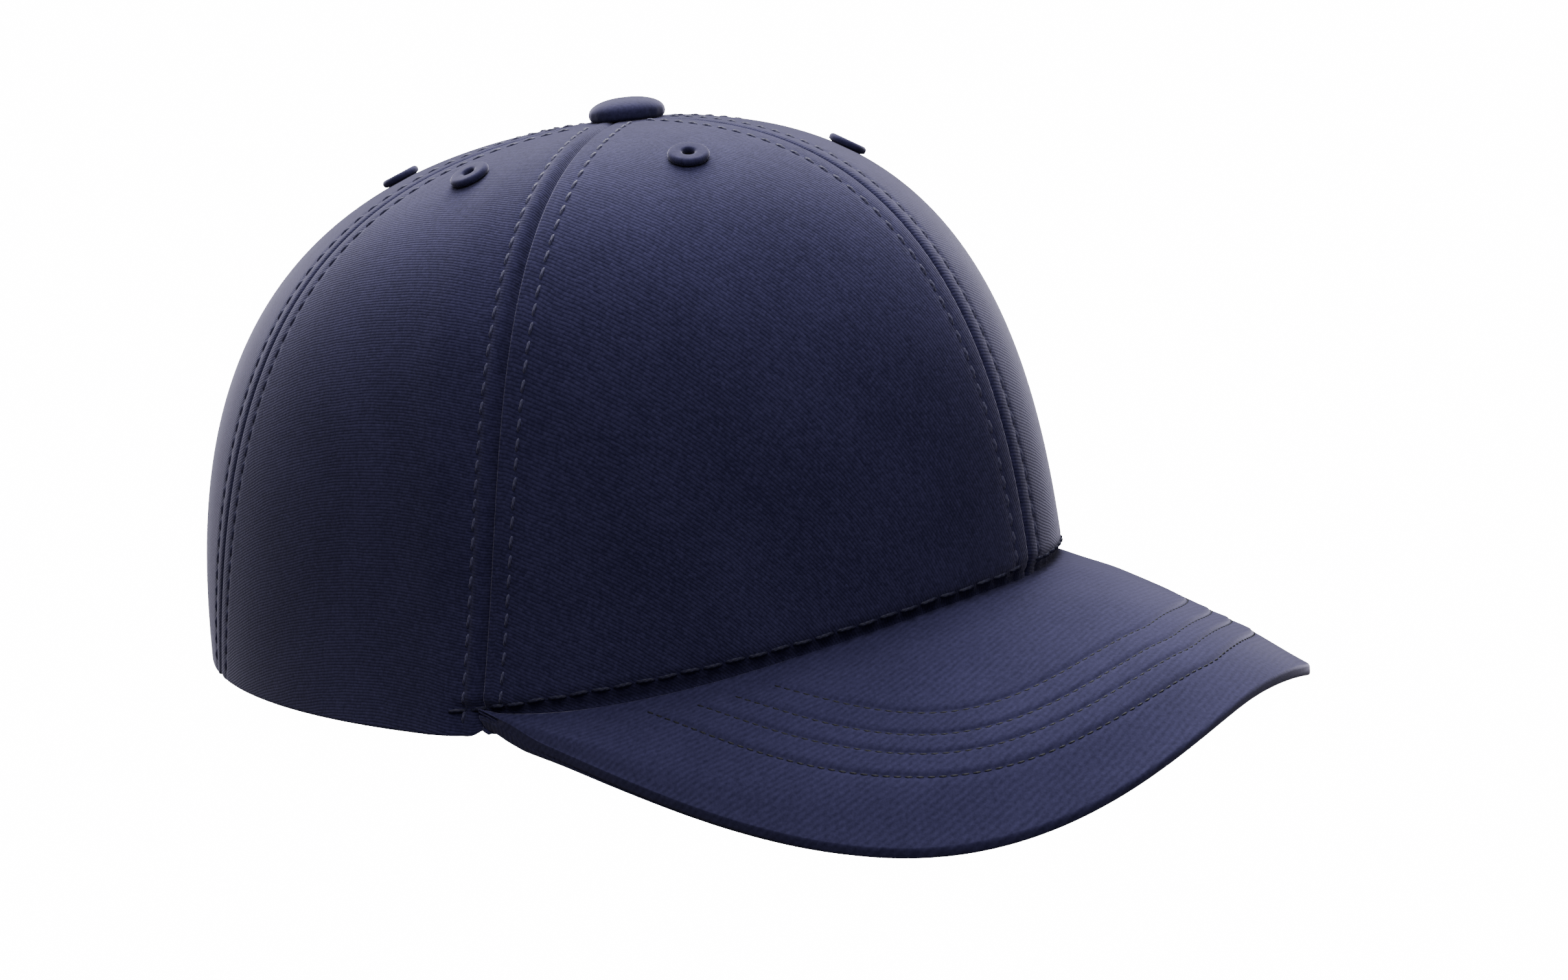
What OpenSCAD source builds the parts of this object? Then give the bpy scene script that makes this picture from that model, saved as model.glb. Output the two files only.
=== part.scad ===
// Peaked bump cap: a six-panel textile cap with a removable impact shell inside.
// The cap stands on the back of its hem and on the two corners of its brim.
// Front is -Y, +Z is up, and the wearer's right is -X.

/* [Crown] */
// Distance from the crown's axis to the front of the hem
crown_front = 97; // [90:1:104]
// Distance from the crown's axis to the back of the hem
crown_back = 122; // [114:1:126]
// Distance from the crown's axis to the side of the hem
crown_side = 88; // [84:1:92]
// Height of the crown above the hem
crown_height = 119; // [114:1:124]
// Roundness of the front half of the hem's outline, where 2 is an ellipse
front_roundness = 1.7; // [1.65:0.05:2]
// Roundness of the back half of the hem's outline
back_roundness = 2.33; // [2.1:0.01:2.5]
// Thickness of the crown cloth with its seam allowance
cloth_t = 1.2; // [1:0.1:1.4]
// Angle from the front at which the side seam meets the hem
side_seam_hem = 81; // [80:0.5:83]
// Angle from the front at which the side seam meets the button
side_seam_top = 68.5; // [66:0.5:72]
// Angle from the front at which the rear seam meets the hem
rear_seam_hem = 139; // [136:0.5:140]
// Angle from the front at which the rear seam meets the button
rear_seam_top = 126; // [122:0.5:130]

/* [Button and eyelets] */
// Diameter of the covered top button
button_d = 17.6; // [15:0.2:19]
// Height of the covered top button
button_h = 5.2; // [4:0.2:6]
// Outer diameter of a vent eyelet
eyelet_d = 9; // [8:0.2:10]
// Diameter of a vent eyelet's hole
eyelet_hole_d = 2.7; // [2:0.1:3.6]

/* [Brim] */
// Length of the brim in front of the crown, measured level
brim_length = 50; // [44:1:56]
// Whole thickness of the brim
brim_t = 4.2; // [4.2:0.1:4.6]
// Height of the brim's top above the hem at the middle of the forehead
brim_rise = 17.8; // [16:0.1:19]
// Drop of the brim for each millimetre forward
brim_slope = 0.33; // [0.28:0.01:0.36]
// Drop of the brim 80 mm out from the middle
brim_arch = 37.9; // [34:0.1:40]

/* [Sweatband] */
// Height of the sweatband
band_h = 28; // [24:1:29]
// Thickness of the sweatband
band_t = 2.4; // [2:0.1:2.4]

/* [Rear opening] */
// Half angle of the arched opening, seen from the crown's axis
arch_half_angle = 21; // [19:0.5:22]
// Height of the arched opening above the hem
arch_h = 44; // [40:1:46]
// Height of a closure strap
strap_h = 20; // [18:1:21]
// Height of a closure strap's lower edge above the hem
strap_z = 3; // [2:0.5:4]

/* [Impact shell] */
// Thickness of the moulded shell
shell_t = 2.2; // [2:0.1:2.4]
// Gap between the crown's outer surface and the shell
shell_gap = 5; // [5:0.1:5.4]
// Thickness of the foam pads
pad_t = 5; // [4:0.5:6]

/* [Hidden] */
$fn = 64;

// How far the cap leans back when it stands on its brim corners and its rear hem
pitch = 5.5;
navy = [0.11, 0.12, 0.2];
navy_dark = [0.08, 0.09, 0.16];
black = [0.06, 0.06, 0.07];
white = [0.86, 0.87, 0.86];

// Bezier control values of a meridian, for the front, the side and the back of the crown
bulge = [0.5, -15.3, 2.4];   // how far the wall's handle stands out from the hem
shoulder = [60.3, 56, 64.8]; // height of the wall's handle
dome = [79.5, 86.3, 65.1] / 90; // length of the dome's handle over the hem radius
hem_up = [0, 0, 2];          // rise of the hem's edge

// Width of the brim's half outline and how round its two ends are
brim_end = side_seam_hem - 1;
side_round = 2.52;
front_round = 3.05;
brim_arch4 = -2.34;
brim_twist = 0.14;
brim_curl = 5;

// ---------- crown surface ----------
function mixed(a, v) = let (w = cos(a) * cos(a)) (cos(a) > 0 ? v[0] : v[2]) * w + v[1] * (1 - w);
function hem_r(a) =
    let (s = abs(sin(a)) + 1e-9, c = cos(a), l = c > 0 ? crown_front : crown_back, n = c > 0 ? front_roundness : back_roundness)
    pow(pow(s / crown_side, n) + pow(abs(c) / l + 1e-9, n), -1 / n);
// Radius and height on the meridian at angle a, off millimetres inside the surface
function prof(a, t, off = 0) =
    let (r0 = hem_r(a), r1 = r0 + mixed(a, bulge), z0 = mixed(a, hem_up), z1 = mixed(a, shoulder), r2 = r0 * mixed(a, dome), h = crown_height,
         u = 1 - t,
         r = u * u * u * r0 + 3 * u * u * t * r1 + 3 * u * t * t * r2,
         z = u * u * u * z0 + 3 * u * u * t * z1 + 3 * u * t * t * h + t * t * t * h,
         dr = 3 * u * u * (r1 - r0) + 6 * u * t * (r2 - r1) - 3 * t * t * r2,
         dz = 3 * u * u * (z1 - z0) + 6 * u * t * (h - z1),
         l = sqrt(dr * dr + dz * dz))
    [r - off * dz / l, z + off * dr / l * min(1, t * 12)];
function at(a, q) = [-q[0] * sin(a), -q[0] * cos(a), q[1]];
function surf(a, t, off = 0) = at(a, prof(a, t, off));
// Curve parameter at which the meridian at angle a reaches height z
function t_at(a, z, off = 0, lo = 0, hi = 1, k = 20) =
    k == 0 ? (lo + hi) / 2 : let (m = (lo + hi) / 2) prof(a, m, off)[1] < z ? t_at(a, z, off, m, hi, k - 1) : t_at(a, z, off, lo, m, k - 1);
t_top = 0.986;
function side_seam(t) = side_seam_hem + (side_seam_top - side_seam_hem) * t;
function rear_seam(t) = rear_seam_hem + (rear_seam_top - rear_seam_hem) * t;

// ---------- brim surface ----------
function brim_z(x, y) =
    let (q = (-y - crown_front) / 70, X = x * x / 6400)
    brim_rise - brim_slope * 70 * q - brim_curl * q * q - brim_arch * (1 + brim_twist * q) * X - brim_arch4 * X * X;
function brim_steep(x, y) =
    let (gx = (brim_z(x + 1, y) - brim_z(x - 1, y)) / 2, gy = (brim_z(x, y + 1) - brim_z(x, y - 1)) / 2) sqrt(1 + gx * gx + gy * gy);
// Where the brim's layer that lies off below its top meets the crown at angle a
function join_t(a, off = 0, lo = 0, hi = 0.4, k = 20) =
    k == 0 ? (lo + hi) / 2 : let (m = (lo + hi) / 2, p = surf(a, m)) p[2] < brim_z(p[0], p[1]) - off ? join_t(a, off, m, hi, k - 1) : join_t(a, off, lo, m, k - 1);
brim_corner = surf(brim_end, 0.03);
function brim_edge(u) =
    let (a = 90 * u) [-sign(u) * -brim_corner[0] * pow(abs(sin(a)) + 1e-9, 2 / side_round),
                      brim_corner[1] - (crown_front + brim_length + brim_corner[1]) * pow(abs(cos(a)) + 1e-9, 2 / front_round)];
// Point of the brim: u from -1 to 1 across, s from the crown (0) to the edge (1), off below the top
function brim_pt(u, s, off, gap = 0.15) =
    let (a = u * brim_end, j = at(a, prof(a, join_t(a, off), -gap)), e = brim_edge(u),
         x = j[0] + (e[0] - j[0]) * s, y = j[1] + (e[1] - j[1]) * s)
    [x, y, s == 0 ? j[2] : brim_z(x, y) - off * (1 + (brim_steep(x, y) - 1) * min(1, 2 * s))];

// Height of the hem's edge: it follows the underside of the brim at the front
function edge_t(a) = abs(a) < brim_end ? join_t(a, brim_t) : 0;

// ---------- standing position ----------
brim_low = [for (i = [-15:15]) brim_pt(sin(80.5 * i / 15), 0.97, brim_t)];
crown_low = [for (a = [150:5:210]) surf(a, 0)];
crown_out = [for (t = [0:0.05:0.5]) surf(180, t)];
function lean(p) = [p[0], p[1] * cos(pitch) + p[2] * sin(pitch), -p[1] * sin(pitch) + p[2] * cos(pitch)];
lift = -min([for (p = concat(brim_low, crown_low)) lean(p)[2]]);
shift = -(min([for (i = [0:3]) for (o = [0.9, brim_t - 0.8]) lean(brim_pt(sin(80.5 * i / 15), 1, o))[1]]) + max([for (p = crown_out) lean(p)[1]])) / 2;
module stand() translate([0, shift, lift]) rotate([-pitch, 0, 0]) children();

// ---------- closed slab between two grids of points ----------
// outer and inner are grids [column][row]; columns run clockwise seen from above, rows run upwards
module slab(outer, inner) {
    n = len(outer) - 1;
    m = len(outer[0]) - 1;
    w = m + 1;
    o = (n + 1) * w;
    pts = concat([for (c = outer) for (p = c) p], [for (c = inner) for (p = c) p]);
    skin = [for (i = [0:n - 1]) for (j = [0:m - 1])
        let (a = i * w + j, b = (i + 1) * w + j, c = b + 1, d = a + 1)
        each [[a, b, c], [a, c, d], [a + o, c + o, b + o], [a + o, d + o, c + o]]];
    rim = concat(
        [for (i = [0:n - 1]) let (a = i * w, b = a + w) each [[a, a + o, b + o], [a, b + o, b]]],
        [for (i = [0:n - 1]) let (a = i * w + m, b = a + w) each [[a, b, b + o], [a, b + o, a + o]]],
        [for (j = [0:m - 1]) let (a = j, b = j + 1) each [[a, b, b + o], [a, b + o, a + o]]],
        [for (j = [0:m - 1]) let (a = n * w + j, b = a + 1) each [[a, b + o, b], [a, a + o, b + o]]]);
    polyhedron(points = pts, faces = concat(skin, rim), convexity = 8);
}

// ---------- crown panels ----------
rows = 15;
function front_cols(off) = [for (i = [0:9]) let (u = i / 9, t0 = edge_t(u * side_seam_hem))
    [for (j = [0:rows]) let (t = t0 + (t_top - t0) * j / rows) surf(u * side_seam(t), t, off)]];
function side_cols(off) = [for (i = [0:8]) let (u = i / 8)
    [for (j = [0:rows]) let (t = t_top * j / rows) surf(side_seam(t) * (1 - u) + rear_seam(t) * u, t, off)]];
// The rear panel's lower edge runs along the hem, then up over half of the arched opening
arch_at = 180 - arch_half_angle;
rear_marks = concat(
    [for (i = [0:3]) [rear_seam_hem + (arch_at - 0.6 - rear_seam_hem) * i / 3, 0]],
    [for (q = [0:11.25:90]) [180 - arch_half_angle * cos(q), q]]);
function arch_height(q) = q < 1 ? 6 : 6 + (arch_h - 6) * sin(q);
function rear_cols(off) = [for (k = [0:len(rear_marks) - 1])
    let (a0 = rear_marks[k][0], q = rear_marks[k][1], u = (a0 - rear_seam_hem) / (180 - rear_seam_hem),
         t0 = k < 4 ? 0 : t_at(a0, arch_height(q)))
    [for (j = [0:rows]) let (t = t0 + (t_top - t0) * j / rows) surf(rear_seam(t) * (1 - u) + 180 * u, t, off)]];

module front_panel_right() color(navy) stand() slab(front_cols(0), front_cols(cloth_t));
module front_panel_left() color(navy) mirror([1, 0, 0]) stand() slab(front_cols(0), front_cols(cloth_t));
module side_panel_right() color(navy) stand() slab(side_cols(0), side_cols(cloth_t));
module side_panel_left() color(navy) mirror([1, 0, 0]) stand() slab(side_cols(0), side_cols(cloth_t));
module rear_panel_right() color(navy) stand() slab(rear_cols(0), rear_cols(cloth_t));
module rear_panel_left() color(navy) mirror([1, 0, 0]) stand() slab(rear_cols(0), rear_cols(cloth_t));

// Stiff interlining behind each front panel, clear of the seams and of the sweatband
function buckram_cols(off) = let (g = front_cols(off)) [for (i = [1:8]) [for (j = [3:8]) g[i][j]]];
module front_buckram() color(white) stand() for (m = [0, 1]) mirror([m, 0, 0]) slab(buckram_cols(cloth_t + 0.1), buckram_cols(cloth_t + 0.6));

// Tapes over the crown's seams on the inside, from above the sweatband to below the button
tape_w = 11;
// Point on the way from a seam point to the next column's point, half a tape's width from the seam
function beside(p, q) = p + (q - p) * min(0.9, tape_w / 2 / norm(q - p));
function flip(p) = [-p[0], p[1], p[2]];
function tape_rows(off, k) = let (f = front_cols(off), s = side_cols(off), r = rear_cols(off), n = len(rear_marks) - 1)
    [for (j = [3:13]) k == 0 ? [flip(beside(f[0][j], f[1][j])), f[0][j], beside(f[0][j], f[1][j])]
                    : k == 1 ? [beside(s[0][j], f[8][j]), s[0][j], beside(s[0][j], s[1][j])]
                    : k == 2 ? [beside(s[8][j], s[7][j]), s[8][j], beside(s[8][j], r[1][j])]
                    : [beside(r[n][j], r[n - 1][j]), r[n][j], flip(beside(r[n][j], r[n - 1][j]))]];
function tape_cols(k, off) = let (g = tape_rows(off, k)) [for (i = [0:2]) [for (row = g) row[i]]];
module seam_tapes() color(black) stand() {
    for (k = [0, 3]) slab(tape_cols(k, cloth_t + 0.1), tape_cols(k, cloth_t + 0.6));
    for (m = [0, 1]) mirror([m, 0, 0]) for (k = [1, 2]) slab(tape_cols(k, cloth_t + 0.1), tape_cols(k, cloth_t + 0.6));
}

// ---------- button, rivet and eyelets ----------
module top_button() color(navy) stand() translate([0, 0, crown_height + 0.2]) rotate_extrude()
    polygon(concat([[0, 3.5], [2.3, 3.5], [2.3, 0], [button_d / 2 - 1.6, 0]],
        [for (q = [-60:15:60]) [button_d / 2 - 1.6 + 1.6 * cos(q), 1.6 + 1.6 * sin(q)]],
        [for (r = [button_d / 2 - 2:-1:0.5]) [r, 3.25 + (button_h - 3.25) * (1 - pow(r / (button_d / 2 - 1), 2))]], [[0, button_h]]));
module button_rivet() color([0.7, 0.7, 0.72]) stand() translate([0, 0, crown_height]) {
    translate([0, 0, -3.2]) cylinder(d = 1.8, h = 6.2);
    translate([0, 0, -3.6]) cylinder(d = 8, h = 0.8);
    translate([0, 0, 2.9]) cylinder(d = 4, h = 0.3);
}

eyelet_marks = [[33.5, 0.785], [104.5, 0.785], [152.5, 0.76], [207.5, 0.76], [255.5, 0.785], [329, 0.74]];
// Places its children with +Z along the crown's outward direction at angle a and parameter t
module on_crown(a, t, out = 0) {
    p = surf(a, t, -out);
    q = surf(a, t + 0.004);
    r = surf(a, t - 0.004);
    rise = atan2(q[2] - r[2], norm([q[0] - r[0], q[1] - r[1]]));
    translate(p) rotate([0, 0, -a - 90]) rotate([0, rise, 0]) children();
}
module eyelet() rotate_extrude() translate([0, 0]) polygon(concat(
    [[eyelet_hole_d / 2, 0.1]], [[eyelet_d / 2 - 0.5, 0.1]],
    [for (q = [-30:20:90]) [eyelet_d / 2 - 0.9 + 0.9 * cos(q), 0.75 + 0.85 * sin(q)]],
    [for (q = [90:20:170]) [eyelet_hole_d / 2 + 0.7 + 0.7 * cos(q), 0.9 + 0.7 * sin(q)]]));
module eyelets() color(navy) stand() for (e = eyelet_marks) on_crown(e[0], e[1], 0.25) eyelet();

// ---------- brim ----------
// The two covers wrap the board and meet along the edge at half thickness
brim_cols = [for (i = [-15:15]) sin(80.5 * i / 15)];
brim_rows = [1, 0.97, 0.84, 0.67, 0.5, 0.32, 0.15, 0];
function brim_grid(off, edge_off) = [for (u = brim_cols) [for (s = brim_rows) brim_pt(u, s, s == 1 ? edge_off : off)]];
function board_grid(off) = [for (u = brim_cols) [for (s = [0.955, 0.84, 0.67, 0.5, 0.32, 0.15, 0.02]) brim_pt(u * 0.985, s, off)]];
module brim_top_cover() color(navy) stand() slab(brim_grid(0, 0.9), brim_grid(0.9, brim_t / 2 - 0.05));
module brim_board() color(black) stand() slab(board_grid(1), board_grid(brim_t - 1.1));
module brim_under_cover() color(navy) stand() slab(brim_grid(brim_t - 1, brim_t / 2 + 0.05), brim_grid(brim_t, brim_t - 0.8));

// ---------- sweatband ----------
band_marks = [for (i = [-27:27]) i * (arch_at - 5.6) / 27];
function band_low(a) = prof(a, edge_t(a))[1] + 0.6;
function band_cols(off) = [for (a = band_marks) let (z0 = band_low(a), z1 = max(z0 + 12, band_h + 0.35 * z0))
    [for (j = [0:3]) let (z = z0 + (z1 - z0) * j / 3, t = t_at(a, z, 0)) surf(a, t, off)]];
band_off = 2.1;
module sweatband() color(black) stand() slab(band_cols(band_off), band_cols(band_off + band_t));

// ---------- rear opening ----------
// Binding folded over the edge of the arched opening: a flat tape on both faces of the cloth
bind_marks = [for (q = [0:7.5:180]) q];
function bind_pt(q, d, off) =
    let (k = q <= 90 ? 1 : -1, qq = q <= 90 ? q : 180 - q, a = 180 - arch_half_angle * cos(qq), z = arch_height(qq),
         da = d * cos(qq) / hem_r(180) * 57.3, dz = d * sin(qq), aa = a - da, t = t_at(aa, z + dz))
    let (p = surf(aa, t, off)) [k * p[0], p[1], p[2]];
bind_w = 5;
// Cross-section runs from the outer face round the edge to the inner face
bind_sec = [[bind_w, -0.25], [bind_w, -0.75], [-0.8, -0.75], [-0.8, cloth_t + 0.75], [bind_w, cloth_t + 0.75], [bind_w, cloth_t + 0.25], [-0.25, cloth_t + 0.25], [-0.25, -0.25]];
module arch_binding() color(navy_dark) stand() {
    n = len(bind_marks);
    pts = [for (q = bind_marks) for (s = bind_sec) bind_pt(q, s[0], s[1])];
    polyhedron(points = pts, convexity = 8, faces = concat(
        [for (i = [0:n - 2]) for (j = [0:7]) let (a = i * 8 + j, b = i * 8 + (j + 1) % 8) each [[a, b, b + 8], [a, b + 8, a + 8]]],
        [[0, 7, 6], [0, 6, 1], [1, 6, 2], [2, 6, 5], [2, 5, 3], [3, 5, 4]],
        [for (f = [[0, 6, 7], [0, 1, 6], [1, 2, 6], [2, 5, 6], [2, 3, 5], [3, 4, 5]]) f + [1, 1, 1] * (n - 1) * 8]));
}

// A strap follows a level arc behind the opening, off millimetres inside the crown's line
function wall_r(a, z) = prof(a, t_at(a, z))[0];
function strap_line(a, z, off) = let (b = wall_r(a, strap_z), c = wall_r(a, strap_z + strap_h), r = b + (c - b) * (z - strap_z) / strap_h - off) [-r * sin(a), -r * cos(a), z];
// Marks at every second degree, so that a patch lies on the same columns as its strap
function marks(a0, a1) = concat([a0], [for (a = [2 * ceil((a0 + 0.5) / 2):2:a1 - 0.5]) a], [a1]);
function strap_cols(a0, a1, off, z0, z1) = [for (a = marks(a0, a1)) [for (z = [z0, z1]) strap_line(a, z, off)]];
module strap(a0, a1, off, t, z0 = strap_z, z1 = strap_z + strap_h)
    slab(strap_cols(a0, a1, off, z0, z1), strap_cols(a0, a1, off + t, z0, z1));
// The over strap is sewn inside the cap on the wearer's right; its sewn end stays with the cap
fold_at = 180 - 17.8;
fold_gap = 0.35;
module strap_anchor() color(navy_dark) stand() strap(180 - 26, fold_at - fold_gap, 2.1, 1.2);
module closure_strap_hook() color(navy_dark) stand() strap(fold_at + fold_gap, 180 + 14, 2.1, 1.2);
module hook_patch() color(black) stand() strap(180 - 10, 180 + 12, 3.35, 0.8, strap_z + 2, strap_z + strap_h - 2);
// The under strap is sewn inside the cap on the wearer's left and lies across the opening
module loop_patch() color(black) stand() strap(180 - 12, 180 + 18, 4.45, 0.6, strap_z + 2, strap_z + strap_h - 2);
module closure_strap_loop() color(navy_dark) stand() strap(180 - 14, 180 + 28, 5.1, 1.2);

// ---------- impact insert ----------
shell_cols_n = 36;
// Height of the shell's lower edge: high over the ears, lower at the forehead and nape
function shell_edge(a) = 37 + 5 * pow(abs(sin(a)), 2) + 4 * pow(max(0, cos(a)), 2);
shell_rows = [0, 0.1, 0.22, 0.34, 0.44, 0.56, 0.66, 0.78, 0.88, 1];
function shell_grid(off) = [for (i = [0:shell_cols_n]) let (a = 360 * i / shell_cols_n, t0 = t_at(a, shell_edge(a)))
    [for (f = shell_rows) let (t = t0 + (0.955 - t0) * f) surf(a, t, off)]];
// Ring-shaped slab: the last column is the first
module ring_slab(outer, inner, open) {
    n = len(outer) - 1;
    m = len(outer[0]) - 1;
    w = m + 1;
    o = n * w;
    pts = concat([for (i = [0:n - 1]) each outer[i]], [for (i = [0:n - 1]) each inner[i]], [[0, 0, outer[0][m][2]], [0, 0, inner[0][m][2]]]);
    function solid(i, j) = j >= 0 && j < m && !open((i + n) % n, j);
    faces = [for (i = [0:n - 1]) for (j = [0:m - 1]) if (solid(i, j))
        let (a = i * w + j, b = ((i + 1) % n) * w + j, c = b + 1, d = a + 1)
        each concat(
            [[a, b, c], [a, c, d], [a + o, c + o, b + o], [a + o, d + o, c + o]],
            solid(i, j - 1) ? [] : [[a, a + o, b + o], [a, b + o, b]],
            j == m - 1 || solid(i, j + 1) ? [] : [[d, c, c + o], [d, c + o, d + o]],
            solid(i - 1, j) ? [] : [[a, d, d + o], [a, d + o, a + o]],
            solid(i + 1, j) ? [] : [[b, c + o, c], [b, b + o, c + o]])];
    cap = [for (i = [0:n - 1]) let (a = i * w + m, b = ((i + 1) % n) * w + m) each [[a, b, 2 * o], [a + o, 2 * o + 1, b + o]]];
    polyhedron(points = pts, faces = concat(faces, cap), convexity = 10);
}
// Vent slots: two rings of them, and none at the forehead
function vent(i, j) = (j == 3 && i % 4 == 2) || (j == 5 && i % 4 == 0) || (j == 7 && i % 6 == 3);
module bump_shell() color(white) stand() ring_slab(shell_grid(shell_gap), shell_grid(shell_gap + shell_t), function(i, j) vent(i, j));

// Foam pads lie against the shell's inside, on the shell's own columns and rows
pad_off = shell_gap + shell_t + 0.25;
function shell_point(i, f, off) = let (a = 360 * i / shell_cols_n, t0 = t_at(a, shell_edge(a))) surf(a, t0 + (0.955 - t0) * f, off);
pad_rows = [0.04, 0.1, 0.22, 0.34];
function pad_cols(i0, i1, off) = [for (i = [i0:i1]) [for (f = pad_rows) shell_point(i, f, off)]];
module pad(i0, i1) slab(pad_cols(i0, i1, pad_off), pad_cols(i0, i1, pad_off + pad_t));
module front_pad() color(black) stand() pad(-3, 3);
module rear_pad() color(black) stand() pad(15, 21);
module side_pads() color(black) stand() for (m = [0, 1]) mirror([m, 0, 0]) pad(7, 11);
// The crown pad is a disc with broad lobes
crown_rows = [0.56, 0.66, 0.78, 0.88, 1];
function crown_pad_grid(off) = [for (i = [0:shell_cols_n]) [for (f = crown_rows) shell_point(i, f == 0.56 ? 0.585 - 0.025 * cos(40 * i) : f, off)]];
module crown_pad() color(black) stand() ring_slab(crown_pad_grid(pad_off), crown_pad_grid(pad_off + pad_t), function(i, j) false);

// Hook and loop patches between the shell and the crown
patch_marks = [[56, 0.62], [112, 0.62]];
function patch_cols(d, off) = let (w = 9 / prof(d[0], d[1])[0] * 57.3)
    [for (i = [-2:2]) [for (j = [-2:2]) surf(d[0] + w * i / 2, d[1] + 0.025 * j, off)]];
module patches(depth, h) for (m = [0, 1]) mirror([m, 0, 0]) for (d = patch_marks) slab(patch_cols(d, depth), patch_cols(d, depth + h));
module shell_loop_patches() color(navy_dark) stand() patches(cloth_t + 0.75, 0.6);
module shell_hook_patches() color(black) stand() patches(shell_gap - 1.3, 1.1);

front_panel_right();
front_panel_left();
side_panel_right();
side_panel_left();
rear_panel_right();
rear_panel_left();
front_buckram();
top_button();
button_rivet();
eyelets();
seam_tapes();
brim_top_cover();
brim_board();
brim_under_cover();
sweatband();
arch_binding();
strap_anchor();
closure_strap_loop();
loop_patch();
shell_loop_patches();
bump_shell();
crown_pad();
front_pad();
rear_pad();
side_pads();
shell_hook_patches();
closure_strap_hook();
hook_patch();
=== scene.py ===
# Looks for the peaked bump cap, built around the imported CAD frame.
# The cap's own frame is in millimetres: hem plane z = 0, front -Y, the wearer's right -X.
import bpy
import math
import numpy as np
from mathutils import Vector, Matrix


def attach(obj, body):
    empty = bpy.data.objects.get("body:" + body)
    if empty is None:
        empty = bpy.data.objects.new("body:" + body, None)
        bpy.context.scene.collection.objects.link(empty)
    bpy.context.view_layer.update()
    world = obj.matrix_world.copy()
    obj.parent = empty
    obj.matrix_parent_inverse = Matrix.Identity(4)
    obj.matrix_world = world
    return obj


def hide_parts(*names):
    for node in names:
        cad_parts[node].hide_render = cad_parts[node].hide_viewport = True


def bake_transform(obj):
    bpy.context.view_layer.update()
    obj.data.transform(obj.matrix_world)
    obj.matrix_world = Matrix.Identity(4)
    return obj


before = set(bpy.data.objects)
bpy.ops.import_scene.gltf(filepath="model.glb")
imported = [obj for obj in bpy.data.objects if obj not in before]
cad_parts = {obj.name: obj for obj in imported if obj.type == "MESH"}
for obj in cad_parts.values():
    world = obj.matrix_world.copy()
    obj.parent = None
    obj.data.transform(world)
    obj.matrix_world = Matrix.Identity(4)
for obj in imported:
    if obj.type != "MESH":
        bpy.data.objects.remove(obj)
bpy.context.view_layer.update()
D2R = math.pi / 180

# ------------------------------------------------------------------ the crown and the brim
CF, CB, CS, CH = 97.0, 122.0, 88.0, 119.0
N_FRONT, N_BACK = 1.7, 2.33
BULGE, SHOULDER, DOME, HEM_UP = (0.5, -15.3, 2.4), (60.3, 56.0, 64.8), (79.5 / 90, 86.3 / 90, 65.1 / 90), (0.0, 0.0, 2.0)
T_TOP, CLOTH, BRIM_T, BRIM_END, PITCH = 0.986, 1.2, 4.2, 80.0, 5.5
SHIFT, LIFT = 11.9198, 10.1692


def mixed(a, v):
    c = np.cos(a * D2R)
    w = c * c
    return np.where(c > 0, v[0], v[2]) * w + v[1] * (1 - w)


def hem_r(a):
    s = np.abs(np.sin(a * D2R)) + 1e-9
    c = np.cos(a * D2R)
    long_ = np.where(c > 0, CF, CB)
    n = np.where(c > 0, N_FRONT, N_BACK)
    return ((s / CS) ** n + (np.abs(c) / long_ + 1e-9) ** n) ** (-1 / n)


def prof(a, t, off=0.0):
    r0 = hem_r(a)
    r1, z0, z1, r2 = r0 + mixed(a, BULGE), mixed(a, HEM_UP), mixed(a, SHOULDER), r0 * mixed(a, DOME)
    u = 1 - t
    r = u * u * u * r0 + 3 * u * u * t * r1 + 3 * u * t * t * r2
    z = u * u * u * z0 + 3 * u * u * t * z1 + 3 * u * t * t * CH + t * t * t * CH
    dr = 3 * u * u * (r1 - r0) + 6 * u * t * (r2 - r1) - 3 * t * t * r2
    dz = 3 * u * u * (z1 - z0) + 6 * u * t * (CH - z1)
    length = np.sqrt(dr * dr + dz * dz)
    return r - off * dz / length, z + off * dr / length * np.minimum(1, t * 12)


def surf(a, t, off=0.0):
    a, t = np.broadcast_arrays(np.asarray(a, float), np.asarray(t, float))
    r, z = prof(a, t, off)
    return np.stack([-r * np.sin(a * D2R), -r * np.cos(a * D2R), z], -1)


def t_at(a, z, hi=1.0):
    a = np.asarray(a, float)
    lo, hi = np.zeros_like(a + z), np.zeros_like(a + z) + hi
    for _ in range(26):
        m = (lo + hi) / 2
        below = prof(a, m)[1] < z
        lo, hi = np.where(below, m, lo), np.where(below, hi, m)
    return (lo + hi) / 2


def normal(a, t):
    da = surf(a + 0.3, t) - surf(a - 0.3, t)
    dt = surf(a, np.asarray(t) + 0.002) - surf(a, np.asarray(t) - 0.002)
    n = np.cross(dt, da)
    return n / np.linalg.norm(n, axis=-1, keepdims=True)


def side_seam(t):
    return 81 - 12.5 * t


def rear_seam(t):
    return 139 - 13 * t


def brim_z(x, y):
    q, X = (-y - CF) / 70, x * x / 6400
    return 17.8 - 0.33 * 70 * q - 5 * q * q - 37.9 * (1 + 0.14 * q) * X + 2.34 * X * X


def brim_steep(x, y):
    gx = (brim_z(x + 1, y) - brim_z(x - 1, y)) / 2
    gy = (brim_z(x, y + 1) - brim_z(x, y - 1)) / 2
    return np.sqrt(1 + gx * gx + gy * gy)


def join_t(a, off=0.0):
    a = np.asarray(a, float)
    lo, hi = np.zeros_like(a), np.zeros_like(a) + 0.4
    for _ in range(26):
        m = (lo + hi) / 2
        p = surf(a, m)
        below = p[..., 2] < brim_z(p[..., 0], p[..., 1]) - off
        lo, hi = np.where(below, m, lo), np.where(below, hi, m)
    return (lo + hi) / 2


CORNER = surf(BRIM_END, 0.03)


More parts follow.
